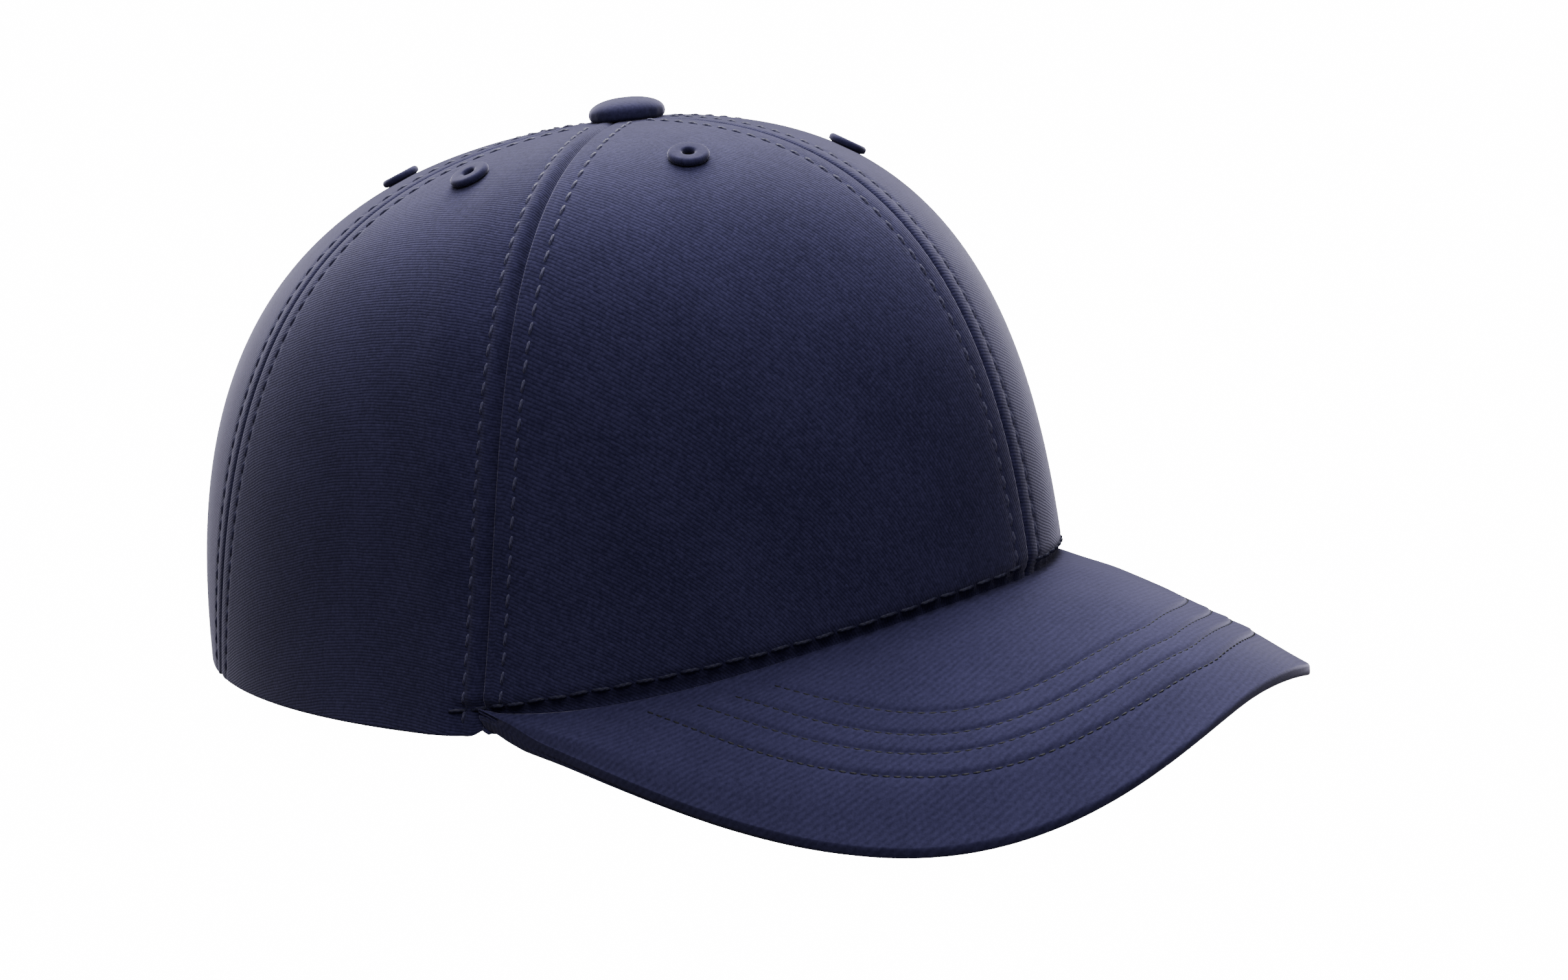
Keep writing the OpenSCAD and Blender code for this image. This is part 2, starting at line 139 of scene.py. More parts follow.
def brim_edge(u):
    a = 90 * np.asarray(u, float) * D2R
    x = -np.sign(u) * abs(CORNER[0]) * (np.abs(np.sin(a)) + 1e-9) ** (2 / 2.52)
    y = CORNER[1] - (CF + 50 + CORNER[1]) * (np.abs(np.cos(a)) + 1e-9) ** (2 / 3.05)
    return x, y


def edge_t(a):
    a = np.abs(np.asarray(a, float))
    return np.where(a < BRIM_END, join_t(np.minimum(a, BRIM_END), BRIM_T), 0.0)


COS, SIN = math.cos(PITCH * D2R), math.sin(PITCH * D2R)


def row(p):
    p = np.asarray(p, float)
    x, y, z = p[..., 0], p[..., 1], p[..., 2]
    return np.stack([x, y * COS + z * SIN + SHIFT, -y * SIN + z * COS + LIFT], -1) / 1000


def flip(p):
    return p * np.array([-1.0, 1.0, 1.0])


# ------------------------------------------------------------------ mesh helpers
def faces_of(n, m, base=0, wrap=False):
    i, j = np.meshgrid(np.arange(n if wrap else n - 1), np.arange(m - 1), indexing="ij")
    k = (i + 1) % n
    a, b = base + i * m + j, base + k * m + j
    return np.stack([a, b, b + 1, a + 1], -1).reshape(-1, 4)


def volume(p, faces):
    v = 0.0
    for f in faces:
        f = np.asarray(f)
        if f.ndim == 1:
            f = f[None]
        for k in range(1, f.shape[1] - 1):
            a, b, c = p[f[:, 0]], p[f[:, k]], p[f[:, k + 1]]
            v += (a * np.cross(b, c)).sum() / 6
    return v


def make(name, pts, faces, material, body="cap", replaces=(), uv=None, closed=True, smooth=True, in_row=False):
    """pts in millimetres in the cap's frame; faces is a list of index arrays; uv is one pair for each point, in millimetres."""
    pts = np.asarray(pts, float).reshape(-1, 3)
    p = pts if in_row else row(pts)
    if closed and volume(p - p.mean(0), faces) < 0:
        faces = [np.asarray(f)[..., ::-1] for f in faces]
    flat = []
    for f in faces:
        f = np.asarray(f)
        flat.extend([f.tolist()] if f.ndim == 1 else f.tolist())
    me = bpy.data.meshes.new(name)
    me.from_pydata(p.tolist(), [], flat)
    me.update()
    if smooth:
        me.polygons.foreach_set("use_smooth", np.ones(len(me.polygons), bool))
    if uv is not None:
        layer = me.uv_layers.new(name="cloth")
        vi = np.zeros(len(me.loops), np.int32)
        me.loops.foreach_get("vertex_index", vi)
        layer.data.foreach_set("uv", np.asarray(uv, np.float32).reshape(-1, 2)[vi].ravel())
    me.materials.append(material)
    o = bpy.data.objects.new(name, me)
    bpy.context.scene.collection.objects.link(o)
    if body:
        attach(o, body)
    if replaces:
        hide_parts(*replaces)
    return o


def slab_faces(n, m, wrap=False, base=0):
    o = n * m
    out = faces_of(n, m, base, wrap)
    inn = faces_of(n, m, base + o, wrap)[:, ::-1]
    i = np.arange(n if wrap else n - 1)
    k = (i + 1) % n
    rims = [np.stack([base + i * m, base + i * m + o, base + k * m + o, base + k * m], -1),
            np.stack([base + i * m + m - 1, base + k * m + m - 1, base + k * m + m - 1 + o, base + i * m + m - 1 + o], -1)]
    if not wrap:
        j = np.arange(m - 1)
        rims.append(np.stack([base + j, base + j + 1, base + j + 1 + o, base + j + o], -1))
        e = base + (n - 1) * m + j
        rims.append(np.stack([e, e + o, e + 1 + o, e + 1], -1))
    return [out, inn] + rims


def join_parts(parts):
    """Joins (points, faces, uv) parts into one."""
    P, F, V, base = [], [], [], 0
    for pts, faces, uv in parts:
        pts = np.asarray(pts).reshape(-1, 3)
        P.append(pts)
        V.append(np.zeros((len(pts), 2)) if uv is None else np.asarray(uv).reshape(-1, 2))
        F.extend([np.asarray(f) + base for f in faces])
        base += len(pts)
    return np.concatenate(P), F, np.concatenate(V)


def slab_part(outer, inner, uv=None, wrap=False):
    n, m = outer.shape[:2]
    pts = np.concatenate([outer.reshape(-1, 3), inner.reshape(-1, 3)])
    faces = slab_faces(n, m, wrap)
    if volume(pts - pts.mean(0), faces) < 0:
        faces = [f[:, ::-1] for f in faces]
    if uv is None:
        uv = np.stack([run(outer, 0), run(outer, 1)], -1)
    uv = np.concatenate([uv.reshape(-1, 2)] * 2)
    return pts, faces, uv


def run(p, axis):
    """Length along a grid's columns or rows, from its first point."""
    d = np.linalg.norm(np.diff(p, axis=axis), axis=-1)
    pad = [(0, 0), (0, 0)]
    pad[axis] = (1, 0)
    return np.pad(np.cumsum(d, axis=axis), pad)


def spread(length, r, step):
    """Fractions from 0 to 1, dense within r of both ends."""
    e = np.array([0, 0.06, 0.2, 0.45, 0.75, 1.0]) * r / length
    mid = np.linspace(r / length, 1 - r / length, max(3, int((length - 2 * r) / step) + 1))[1:-1]
    return np.concatenate([e, mid, 1 - e[::-1]])


def edge_distance(p):
    """Distance of each grid point to the nearest side of its grid, measured along the surface."""
    a, b = run(p, 0), run(p, 1)
    return np.minimum(np.minimum(a, a[-1:] - a), np.minimum(b, b[:, -1:] - b))


def crown_leaf(A, T, off0, off1, r, extra=None):
    """A closed leaf between two offsets of the crown, with rounded edges of radius r."""
    mid = surf(A, T, (off0 + off1) / 2)
    e = edge_distance(mid)
    half = (off1 - off0) / 2
    k = np.sqrt(np.maximum(0, 1 - (1 - np.clip(e / r, 0, 1)) ** 2))
    h = np.maximum(half * k, 0.03)
    x = 0 if extra is None else extra(e)
    c = (off0 + off1) / 2
    outer, inner = surf(A, T, c - h), surf(A, T, c + h + x)
    return slab_part(outer, inner)


def smoothstep(x, a, b):
    k = np.clip((x - a) / (b - a), 0, 1)
    return k * k * (3 - 2 * k)


def tubes(C, N, r, sides=8, ply=0.1, lay=1.3, squash=1.0):
    """Thread stitches. C is (count, rings, 3) points, N the surface normals there, r the radius at each ring."""
    C, N = np.asarray(C, float), np.asarray(N, float)
    n, k = C.shape[:2]
    T = np.gradient(C, axis=1)
    T /= np.linalg.norm(T, axis=-1, keepdims=True) + 1e-12
    B = np.cross(T, N)
    B /= np.linalg.norm(B, axis=-1, keepdims=True) + 1e-12
    M = np.cross(B, T)
    s = np.concatenate([np.zeros((n, 1)), np.cumsum(np.linalg.norm(np.diff(C, axis=1), axis=-1), 1)], 1)
    phi = np.arange(sides) * 2 * math.pi / sides
    R = np.asarray(r, float)[None, :, None] * (1 + ply * np.cos(2 * phi[None, None, :] - 2 * math.pi * s[..., None] / lay))
    P = C[:, :, None, :] + R[..., None] * (np.cos(phi)[None, None, :, None] * M[:, :, None, :] * squash + np.sin(phi)[None, None, :, None] * B[:, :, None, :])
    base = (np.arange(n) * k * sides)[:, None, None]
    i, j = np.meshgrid(np.arange(k - 1), np.arange(sides), indexing="ij")
    q = (j + 1) % sides
    f = np.stack([i * sides + j, i * sides + q, (i + 1) * sides + q, (i + 1) * sides + j], -1).reshape(1, -1, 4)
    quads = (f + base).reshape(-1, 4)
    cap0 = (np.arange(sides)[::-1][None, :] + base[:, :, 0])
    cap1 = (np.arange(sides)[None, :] + (k - 1) * sides + base[:, :, 0])
    uv = np.stack([np.broadcast_to(s[..., None], (n, k, sides)), np.broadcast_to(phi[None, None, :], (n, k, sides))], -1)
    pts = P.reshape(-1, 3)
    faces = [quads, cap0, cap1]
    if volume(pts[: k * sides] - pts[: k * sides].mean(0), [f[0], cap0[:1], cap1[:1]]) < 0:
        faces = [x[:, ::-1] for x in faces]
    return pts, faces, uv.reshape(-1, 2)


def stitches(P, N, pitch, length, radius, rise, sink, start=0.0, rings=9, sides=8, turn=0.0, taper=0.55):
    """Stitches of one row: P and N are the row's points and normals. Each thread rises from the cloth and dives back."""
    s = np.concatenate([[0], np.cumsum(np.linalg.norm(np.diff(P, axis=0), axis=1))])
    count = int((s[-1] - start - length) / pitch) + 1
    if count < 1:
        return np.zeros((0, rings, 3)), np.zeros((0, rings, 3)), None
    f = np.linspace(0, 1, rings)
    at = start + np.arange(count)[:, None] * pitch + f[None, :] * length
    C = np.stack([np.interp(at, s, P[:, i]) for i in range(3)], -1)
    M = np.stack([np.interp(at, s, N[:, i]) for i in range(3)], -1)
    M /= np.linalg.norm(M, axis=-1, keepdims=True)
    lift = -sink + (rise + sink) * np.sin(np.pi * f) ** 0.45
    if turn:
        tang = np.gradient(C, axis=1)
        tang /= np.linalg.norm(tang, axis=-1, keepdims=True)
        side = np.cross(tang, M)
        C = C + side * (np.sin((f - 0.5) * np.pi) * turn)[None, :, None]
    C = C + M * lift[None, :, None]
    r = radius * (taper + (1 - taper) * np.sin(np.pi * f) ** 0.4)
    return C, M, r


def thread_part(P, N, **kw):
    sides = kw.pop("sides", 8)
    ply = kw.pop("ply", 0.1)
    C, M, r = stitches(P, N, **kw)
    if r is None:
        return None
    return tubes(C, M, r, sides, ply)


def threads(name, parts, material, body="cap"):
    parts = [p for p in parts if p is not None]
    pts, faces, uv = join_parts(parts)
    return make(name, pts, faces, material, body, (), uv, closed=False)


# ------------------------------------------------------------------ materials
class Nodes:
    def __init__(self, name):
        self.m = bpy.data.materials.new(name)
        self.m.use_nodes = True
        self.t = self.m.node_tree
        self.t.nodes.clear()
        self.out = self.t.nodes.new("ShaderNodeOutputMaterial")
        self.b = self.t.nodes.new("ShaderNodeBsdfPrincipled")
        self.t.links.new(self.b.outputs[0], self.out.inputs["Surface"])

    def node(self, kind, **kw):
        n = self.t.nodes.new(kind)
        for k, v in kw.items():
            setattr(n, k, v)
        return n

    def put(self, socket, value):
        if hasattr(value, "is_linked") or hasattr(value, "links"):
            self.t.links.new(value, socket)
        else:
            socket.default_value = value

    def math(self, op, a, b=0.0, c=0.0):
        n = self.node("ShaderNodeMath", operation=op)
        for i, v in enumerate((a, b, c)):
            self.put(n.inputs[i], v)
        return n.outputs[0]

    def add(self, a, b):
        return self.math("ADD", a, b)

    def sub(self, a, b):
        return self.math("SUBTRACT", a, b)

    def mul(self, a, b):
        return self.math("MULTIPLY", a, b)

    def mix(self, f, a, b):
        n = self.node("ShaderNodeMix", data_type="RGBA")
        self.put(n.inputs[0], f)
        for s, v in ((n.inputs[6], a), (n.inputs[7], b)):
            self.put(s, (*v, 1.0) if isinstance(v, tuple) else v)
        return n.outputs[2]

    def range(self, v, a, b, c, d):
        n = self.node("ShaderNodeMapRange")
        self.put(n.inputs[0], v)
        for i, x in enumerate((a, b, c, d)):
            n.inputs[i + 1].default_value = x
        return n.outputs[0]

    def place(self):
        return self.node("ShaderNodeTexCoord").outputs["Object"]

    def noise(self, scale, detail=2.0, rough=0.5, vector=None, stretch=None):
        n = self.node("ShaderNodeTexNoise")
        v = vector if vector is not None else self.place()
        if stretch:
            s = self.node("ShaderNodeMapping")
            s.inputs["Scale"].default_value = stretch
            self.t.links.new(v, s.inputs["Vector"])
            v = s.outputs[0]
        self.t.links.new(v, n.inputs["Vector"])
        n.inputs["Scale"].default_value = scale
        n.inputs["Detail"].default_value = detail
        n.inputs["Roughness"].default_value = rough
        return n.outputs[0]

    def uv(self):
        n = self.node("ShaderNodeUVMap", uv_map="cloth")
        s = self.node("ShaderNodeSeparateXYZ")
        self.t.links.new(n.outputs[0], s.inputs[0])
        return s.outputs[0], s.outputs[1]

    def bump(self, height, distance, strength=1.0, normal=None):
        n = self.node("ShaderNodeBump")
        n.inputs["Strength"].default_value = strength
        n.inputs["Distance"].default_value = distance
        self.put(n.inputs["Height"], height)
        if normal is not None:
            self.t.links.new(normal, n.inputs["Normal"])
        return n.outputs[0]

    def set(self, **kw):
        for k, v in kw.items():
            self.put(self.b.inputs[k.replace("_", " ")], v)


NAVY_DARK = (0.0100, 0.0095, 0.0330)
NAVY_LIGHT = (0.0285, 0.0265, 0.0740)
SHEEN = (0.80, 0.76, 1.0, 1.0)


def cloth_base(n, color, sheen=1.0, sheen_rough=0.36, rough=0.92, tint=SHEEN, spec=0.12):
    n.put(n.b.inputs["Base Color"], color)
    n.b.inputs["Roughness"].default_value = rough
    n.b.inputs["Specular IOR Level"].default_value = spec
    n.b.inputs["Sheen Weight"].default_value = sheen
    n.b.inputs["Sheen Roughness"].default_value = sheen_rough
    n.b.inputs["Sheen Tint"].default_value = tint


def twill(name, pitch=1.05, dark=NAVY_DARK, light=NAVY_LIGHT, depth=0.00007, sheen=0.4, sheen_rough=0.36, fuzz=0.5, contrast=1.0, tint=SHEEN):
    """Ribbed twill. The cloth map's first number runs across the ribs and its second along them, in millimetres."""
    n = Nodes(name)
    w, l = n.uv()
    place = n.place()
    wob = n.sub(n.noise(95, 2.0, 0.5, place), 0.5)
    fine = n.noise(1400, 2.0, 0.6, place)
    grain = n.noise(3600, 1.0, 0.5, place)
    cloud = n.noise(38, 3.0, 0.55, place)
    ph = n.math("DIVIDE", n.add(w, n.mul(wob, 0.9)), pitch)
    idx = n.math("FLOOR", ph)
    f = n.sub(ph, idx)
    rib = n.sub(1.0, n.math("POWER", n.math("ABSOLUTE", n.sub(n.mul(f, 2.0), 1.0)), 2.2))
    shift = n.math("FRACT", n.mul(n.math("SINE", n.mul(idx, 12.9898)), 43.758))
    lp = n.add(n.math("DIVIDE", n.add(l, n.mul(wob, 1.3)), 1.25), shift)
    li = n.math("FLOOR", lp)
    g = n.sub(lp, li)
    flo = n.sub(1.0, n.math("POWER", n.math("ABSOLUTE", n.sub(n.mul(g, 2.0), 1.0)), 4.0))
    white = n.node("ShaderNodeTexWhiteNoise", noise_dimensions="2D")
    comb = n.node("ShaderNodeCombineXYZ")
    n.put(comb.inputs[0], idx)
    n.put(comb.inputs[1], li)
    n.t.links.new(comb.outputs[0], white.inputs["Vector"])
    rnd = white.outputs["Value"]
    h = n.mul(rib, n.add(0.72, n.mul(flo, 0.28)))
    tone = n.add(n.mul(h, 0.34), n.add(n.mul(rnd, 0.2), 0.12))
    tone = n.add(tone, n.mul(n.sub(fine, 0.5), fuzz * 1.6))
    tone = n.add(tone, n.mul(n.sub(cloud, 0.5), 0.55))
    tone = n.range(tone, 0.5 - 0.5 / contrast, 0.5 + 0.5 / contrast, 0.0, 1.0)
    cloth_base(n, n.mix(tone, dark, light), sheen, sheen_rough, tint=tint)
    height = n.add(h, n.add(n.mul(fine, fuzz), n.mul(grain, 0.18)))
    n.set(Normal=n.bump(height, depth, 0.85))
    return n.m


def fleece(name, pitch=1.1, dark=NAVY_DARK, light=NAVY_LIGHT, depth=0.00008, sheen=0.4, sheen_rough=0.4, rib_amount=0.3, tint=SHEEN):
    """Twill with a brushed face: the ribs are faint under the fibres."""
    n = Nodes(name)
    w, l = n.uv()
    place = n.place()
    wob = n.sub(n.noise(120, 2.0, 0.5, place), 0.5)
    fibre = n.noise(1150, 3.0, 0.65, place)
    grain = n.noise(3000, 1.0, 0.5, place)
    cloud = n.noise(55, 3.0, 0.55, place)
    ph = n.math("DIVIDE", n.add(w, n.mul(wob, 1.4)), pitch)
    rib = n.add(0.5, n.mul(n.math("SINE", n.mul(ph, 2 * math.pi)), 0.5))
    tone = n.add(n.mul(rib, rib_amount), n.add(n.mul(n.sub(fibre, 0.5), 1.5), 0.35))
    tone = n.add(tone, n.mul(n.sub(cloud, 0.5), 0.5))
    cloth_base(n, n.mix(n.range(tone, 0, 1, 0, 1), dark, light), sheen, sheen_rough, tint=tint)
    height = n.add(n.mul(rib, rib_amount), n.add(n.mul(fibre, 0.8), n.mul(grain, 0.25)))
    n.set(Normal=n.bump(height, depth, 0.8))
    return n.m


def thread_material(name, dark, light, sheen=0.6):
    n = Nodes(name)
    s, phi = n.uv()
    ply = n.math("SINE", n.add(n.mul(phi, 2.0), n.mul(s, 2 * math.pi / 1.3)))
    fine = n.noise(2600, 2.0, 0.6)
    tone = n.add(n.add(0.5, n.mul(ply, 0.25)), n.mul(n.sub(fine, 0.5), 0.8))
    cloth_base(n, n.mix(tone, dark, light), sheen, 0.4, 0.62, spec=0.3)
    n.set(Normal=n.bump(n.add(ply, fine), 0.00005, 0.8))
    return n.m


def weave(name, dark, light, a=0.55, b=0.55, depth=0.00008, sheen=0.5, rough=0.9, spec=0.15, alpha_holes=False):
    """Plain weave on the cloth map, in millimetres."""
    n = Nodes(name)
    u, v = n.uv()
    pu, pv = n.mul(u, math.pi / a), n.mul(v, math.pi / b)
    x = n.math("SINE", pu)
    y = n.math("SINE", pv)
    over = n.math("GREATER_THAN", n.mul(x, y), 0.0)
    warp = n.math("ABSOLUTE", x)
    weft = n.math("ABSOLUTE", y)
    h = n.add(n.mul(over, warp), n.mul(n.sub(1.0, over), weft))
    fine = n.noise(1700, 2.0, 0.6)
    cloud = n.noise(60, 2.0, 0.5)
    tone = n.add(n.mul(h, 0.6), n.add(n.mul(n.sub(fine, 0.5), 0.9), n.mul(n.sub(cloud, 0.5), 0.4)))
    cloth_base(n, n.mix(n.range(tone, 0, 1, 0, 1), dark, light), sheen, 0.4, rough, spec=spec)
    n.set(Normal=n.bump(n.add(h, n.mul(fine, 0.4)), depth, 0.8))
    return n.m


def pile(name, dark, light, scale=1100, depth=0.0003, sheen=0.7, rough=0.95, hooks=False):
    n = Nodes(name)
    if hooks:
        u, v = n.uv()
        x = n.math("SINE", n.mul(u, 2 * math.pi / 1.2))
        y = n.math("SINE", n.mul(v, 2 * math.pi / 1.0))
        h = n.math("GREATER_THAN", n.mul(n.add(x, 1.0), n.add(y, 1.0)), 1.9)
        h = n.add(h, n.mul(n.noise(2000), 0.3))
    else:
        vor = n.node("ShaderNodeTexVoronoi")
        vor.inputs["Scale"].default_value = scale
        n.t.links.new(n.place(), vor.inputs["Vector"])
        h = n.add(n.mul(vor.outputs["Distance"], 0.9), n.mul(n.noise(scale * 1.7, 3.0, 0.6), 0.7))
    cloth_base(n, n.mix(n.range(h, 0.1, 1.1, 0, 1), dark, light), sheen, 0.45, rough, spec=0.1)
    n.set(Normal=n.bump(h, depth, 0.9))
    return n.m


def plastic(name, color, rough=0.34, grain=0.00003, scale=1500):
    n = Nodes(name)
    big = n.noise(28, 3.0, 0.5)
    fine = n.noise(scale, 2.0, 0.55)
    c2 = tuple(min(1.0, x * 1.35 + 0.004) for x in color)
    n.put(n.b.inputs["Base Color"], n.mix(n.range(big, 0.3, 0.7, 0, 1), color, c2))
    n.put(n.b.inputs["Roughness"], n.range(n.add(big, n.mul(n.sub(fine, 0.5), 0.5)), 0.2, 0.9, rough - 0.07, rough + 0.1))
    n.b.inputs["Specular IOR Level"].default_value = 0.5
    n.set(Normal=n.bump(fine, grain, 0.7))
    return n.m


def foam(name, dark, light):
    n = Nodes(name)
    vor = n.node("ShaderNodeTexVoronoi")
    vor.inputs["Scale"].default_value = 1300
    n.t.links.new(n.place(), vor.inputs["Vector"])
    cloud = n.noise(70, 3.0, 0.5)
    h = n.add(vor.outputs["Distance"], n.mul(n.noise(2400), 0.4))
    cloth_base(n, n.mix(n.range(n.add(n.mul(h, 0.5), n.mul(cloud, 0.5)), 0.2, 0.8, 0, 1), dark, light), 0.45, 0.45, 0.93, spec=0.15)
    n.set(Normal=n.bump(h, 0.0001, 0.8))
    return n.m


def steel(name):
    n = Nodes(name)
    brush = n.noise(900, 2.0, 0.5, stretch=(1.0, 12.0, 12.0))
    n.put(n.b.inputs["Base Color"], n.mix(brush, (0.42, 0.43, 0.44), (0.62, 0.63, 0.64)))
    n.b.inputs["Metallic"].default_value = 1.0
    n.put(n.b.inputs["Roughness"], n.range(brush, 0, 1, 0.22, 0.42))
    n.set(Normal=n.bump(brush, 0.00002, 0.5))
    return n.m


M_CROWN = twill("crown twill", pitch=0.66, depth=0.00006, fuzz=0.6, contrast=1.6)
M_BRIM = fleece("brim twill", pitch=1.2, rib_amount=0.27)
M_UNDER = fleece("brim under twill", rib_amount=0.45)
M_BUTTON = fleece("button cloth", pitch=0.9, rib_amount=0.12, depth=0.00006, dark=(0.0115, 0.0108, 0.0350), light=(0.0290, 0.0275, 0.0780))
M_EYELET = fleece("eyelet thread", pitch=0.5, rib_amount=0.1, depth=0.00005)
# near-black material with no sheen: painted shade of the holes through the eyelets
M_HOLE_SHADE = pile("eyelet hole painted shade", (0.0002, 0.0002, 0.0004), (0.0009, 0.0009, 0.0014), 2500, 0.00002, 0.0)
M_THREAD = thread_material("crown thread", (0.0188, 0.0179, 0.0468), (0.0385, 0.0366, 0.0900), 0.15)
# dark navy thread, darkened further as painted shade under the crown's overlapping fold
M_JOIN_SHADED = thread_material("join thread with painted shade", (0.0050, 0.0048, 0.0170), (0.0150, 0.0145, 0.0440), 0.0)
# dark navy thread, darkened further as painted shade of the grooves the brim rows sink into
M_BRIM_THREAD_SHADED = thread_material("brim thread with painted shade", (0.0020, 0.0022, 0.0060), (0.0060, 0.0064, 0.0160), 0.0)
M_BINDING = weave("binding tape", (0.006, 0.0065, 0.015), (0.020, 0.021, 0.040), 0.45, 0.9)
M_TAPE = weave("seam tape", (0.006, 0.006, 0.013), (0.018, 0.019, 0.034), 0.5, 0.5)
M_BAND = fleece("sweatband cloth", pitch=0.9, dark=(0.003, 0.0035, 0.007), light=(0.012, 0.013, 0.022), depth=0.00015, rib_amount=0.2)
M_STRAP = twill("strap twill", pitch=1.0, depth=0.00012)
M_LOOP = pile("loop pile", (0.003, 0.003, 0.005), (0.016, 0.016, 0.024), 1500, 0.0003)
M_HOOK = pile("hook tape", (0.002, 0.002, 0.003), (0.02, 0.02, 0.024), 1500, 0.0004, 0.1, 0.6, hooks=True)
M_BUCKRAM = weave("buckram", (0.30, 0.30, 0.28), (0.62, 0.62, 0.59), 0.8, 0.8, 0.00018, 0.2)
M_SHELL = plastic("abs shell", (0.0075, 0.008, 0.0105))
M_BOARD = plastic("brim board", (0.010, 0.010, 0.012), 0.5)
M_FOAM = foam("foam pad", (0.006, 0.0065, 0.009), (0.020, 0.021, 0.028))
M_RIVET = steel("rivet steel")

# ------------------------------------------------------------------ rib directions
RIB = {
    # direction of the ribs as a turn up from the hem towards the front, in degrees, at angle a round the crown
    "front_right": lambda a: -47.0 - 0.80 * (40.5 - a) * 1.0,
    "side_right": lambda a: 9.0 + 0.75 * (a - 110.0),
    "rear_right": lambda a: 40.0 + 0.6 * (a - 143.0),
    "front_left": lambda a: 47.0 + 0.80 * (a - 40.5),
    "side_left": lambda a: -9.0 + 0.75 * (a - 110.0),
    "rear_left": lambda a: -38.0 + 0.6 * (a - 160.0),
}


def rib_map(P, theta, sheared=False):
    """Solves for the number across the ribs on a grid of points (columns run backwards, rows upwards), so that the ribs turn by theta from the level direction and stay evenly spaced."""
    n, m = P.shape[:2]
    ci = np.unique(np.concatenate([[0, 12, 20], np.round(np.linspace(20, n - 21, 44 if sheared else 20)), [n - 21, n - 13, n - 1]]).astype(int))
    cj = np.unique(np.concatenate([[0, 5], np.round(np.linspace(9, m - 1, 40))]).astype(int))
    Q, th = P[np.ix_(ci, cj)], theta[np.ix_(ci, cj)] * D2R
    a, b = Q.shape[:2]
    N = a * b
    idx = np.arange(N).reshape(a, b)
    M, R = np.zeros((N, N)), np.zeros(N)

    def eq(nodes, coefs, rhs, weight):
        """Adds equations sum(coef * value[node]) = rhs, each with its weight."""
        for p, cp in zip(nodes, coefs):
            np.add.at(R, p.ravel(), (weight * cp * rhs).ravel())
            for q, cq in zip(nodes, coefs):
                np.add.at(M, (p.ravel(), q.ravel()), (weight * cp * cq).ravel())

    dh = np.maximum(np.linalg.norm(Q[1:] - Q[:-1], axis=-1), 0.15)
    dv = np.maximum(np.linalg.norm(Q[:, 1:] - Q[:, :-1], axis=-1), 0.15)
    tm = (th[1:] + th[:-1]) / 2
    if sheared:
        D, V = Q[1:] - Q[:-1], Q[:, 1:] - Q[:, :-1]
        V = np.concatenate([V, V[:, -1:]], 1)
        V = V / np.maximum(np.linalg.norm(V, axis=-1, keepdims=True), 1e-6)
        V = (V[1:] + V[:-1]) / 2
        v = (D * V).sum(-1)
        h = np.linalg.norm(D - v[..., None] * V, axis=-1)
        eq([idx[1:], idx[:-1]], [1 / dh, -1 / dh], (np.sin(tm) * h + np.cos(tm) * v) / dh, 0.05 * dh)
    else:
        eq([idx[1:], idx[:-1]], [1 / dh, -1 / dh], (np.sin(th[1:]) + np.sin(th[:-1])) / 2, 0.05 * dh)
    eq([idx[:, 1:], idx[:, :-1]], [1 / dv, -1 / dv], (np.cos(th[:, 1:]) + np.cos(th[:, :-1])) / 2, 0.05 * dv)
    t = (th[1:, 1:] + th[1:, :-1] + th[:-1, 1:] + th[:-1, :-1]) / 4
    h = (dh[:, 1:] + dh[:, :-1]) / 2
    v = (dv[1:] + dv[:-1]) / 2
    nodes = [idx[1:, :-1], idx[1:, 1:], idx[:-1, :-1], idx[:-1, 1:]]
    gc = [0.5 / h, 0.5 / h, -0.5 / h, -0.5 / h]
    gr = [-0.5 / v, 0.5 / v, -0.5 / v, 0.5 / v]
    area = h * v
    eq(nodes, [np.sin(t) * c + np.cos(t) * r for c, r in zip(gc, gr)], np.ones_like(t), 0.35 * area)
    eq(nodes, [-np.cos(t) * c + np.sin(t) * r for c, r in zip(gc, gr)], np.zeros_like(t), 3.0 * area)
    M[0, 0] += 1e-3
    M[np.arange(N), np.arange(N)] += 1e-9
    sol = np.linalg.solve(M, R).reshape(a, b)
    along = run(P, 0).mean(1)
    up = run(P, 1).mean(0)
    tmp = np.stack([np.interp(along, along[ci], sol[:, j]) for j in range(b)], 1)
    return np.stack([np.interp(up, up[cj], tmp[i]) for i in range(n)], 0)


# ------------------------------------------------------------------ crown panels
SHARP = ([0, .12, .3, .5, .8, 1.5, 2.5, 3.4, 4.6, 6, 9], [-1.6, -.7, -.14, -.03, .0, .03, .05, .05, 0, .03, 0])
ROLLED = ([0, .45, .8, 1.2, 1.75, 2.5, 3.4, 4.6, 6, 9], [-1.6, -1.55, -1.15, -.42, .15, .42, .38, 0, .05, 0])
NARROW = ([0, .12, .3, .55, .9, 1.5, 2.5, 3.4, 4.6, 6, 9], [-1.6, -.85, -.32, -.08, .06, .14, .13, .08, 0, .04, 0])
STITCH_AT = 4.5
NEAR = np.array([0, .12, .3, .5, .75, 1.05, 1.4, 1.8, 2.3, 2.9, 3.5, 4, 4.4, 4.8, 5.2, 5.7, 6.4, 7.5, 9, 11, 13.5])
CORD_A = np.array([0, 15.5, 41.5, 56, 71.5, 80, 85, 90])
CORD_Z = np.array([20.7, 18.8, 13.2, 10.4, 7.6, 5.9, 5.1, 4.2])


def arch_height(q):
    return np.where(q < 1, 6.0, 6 + 38 * np.sin(q * D2R))


def join_z(a):
    a = np.minimum(np.abs(a), BRIM_END)
    return prof(a, join_t(a))[1]


JA = np.linspace(0, 90, 91)
JZ = join_z(JA)
EA = np.linspace(0, 90, 181)
ET = edge_t(EA)


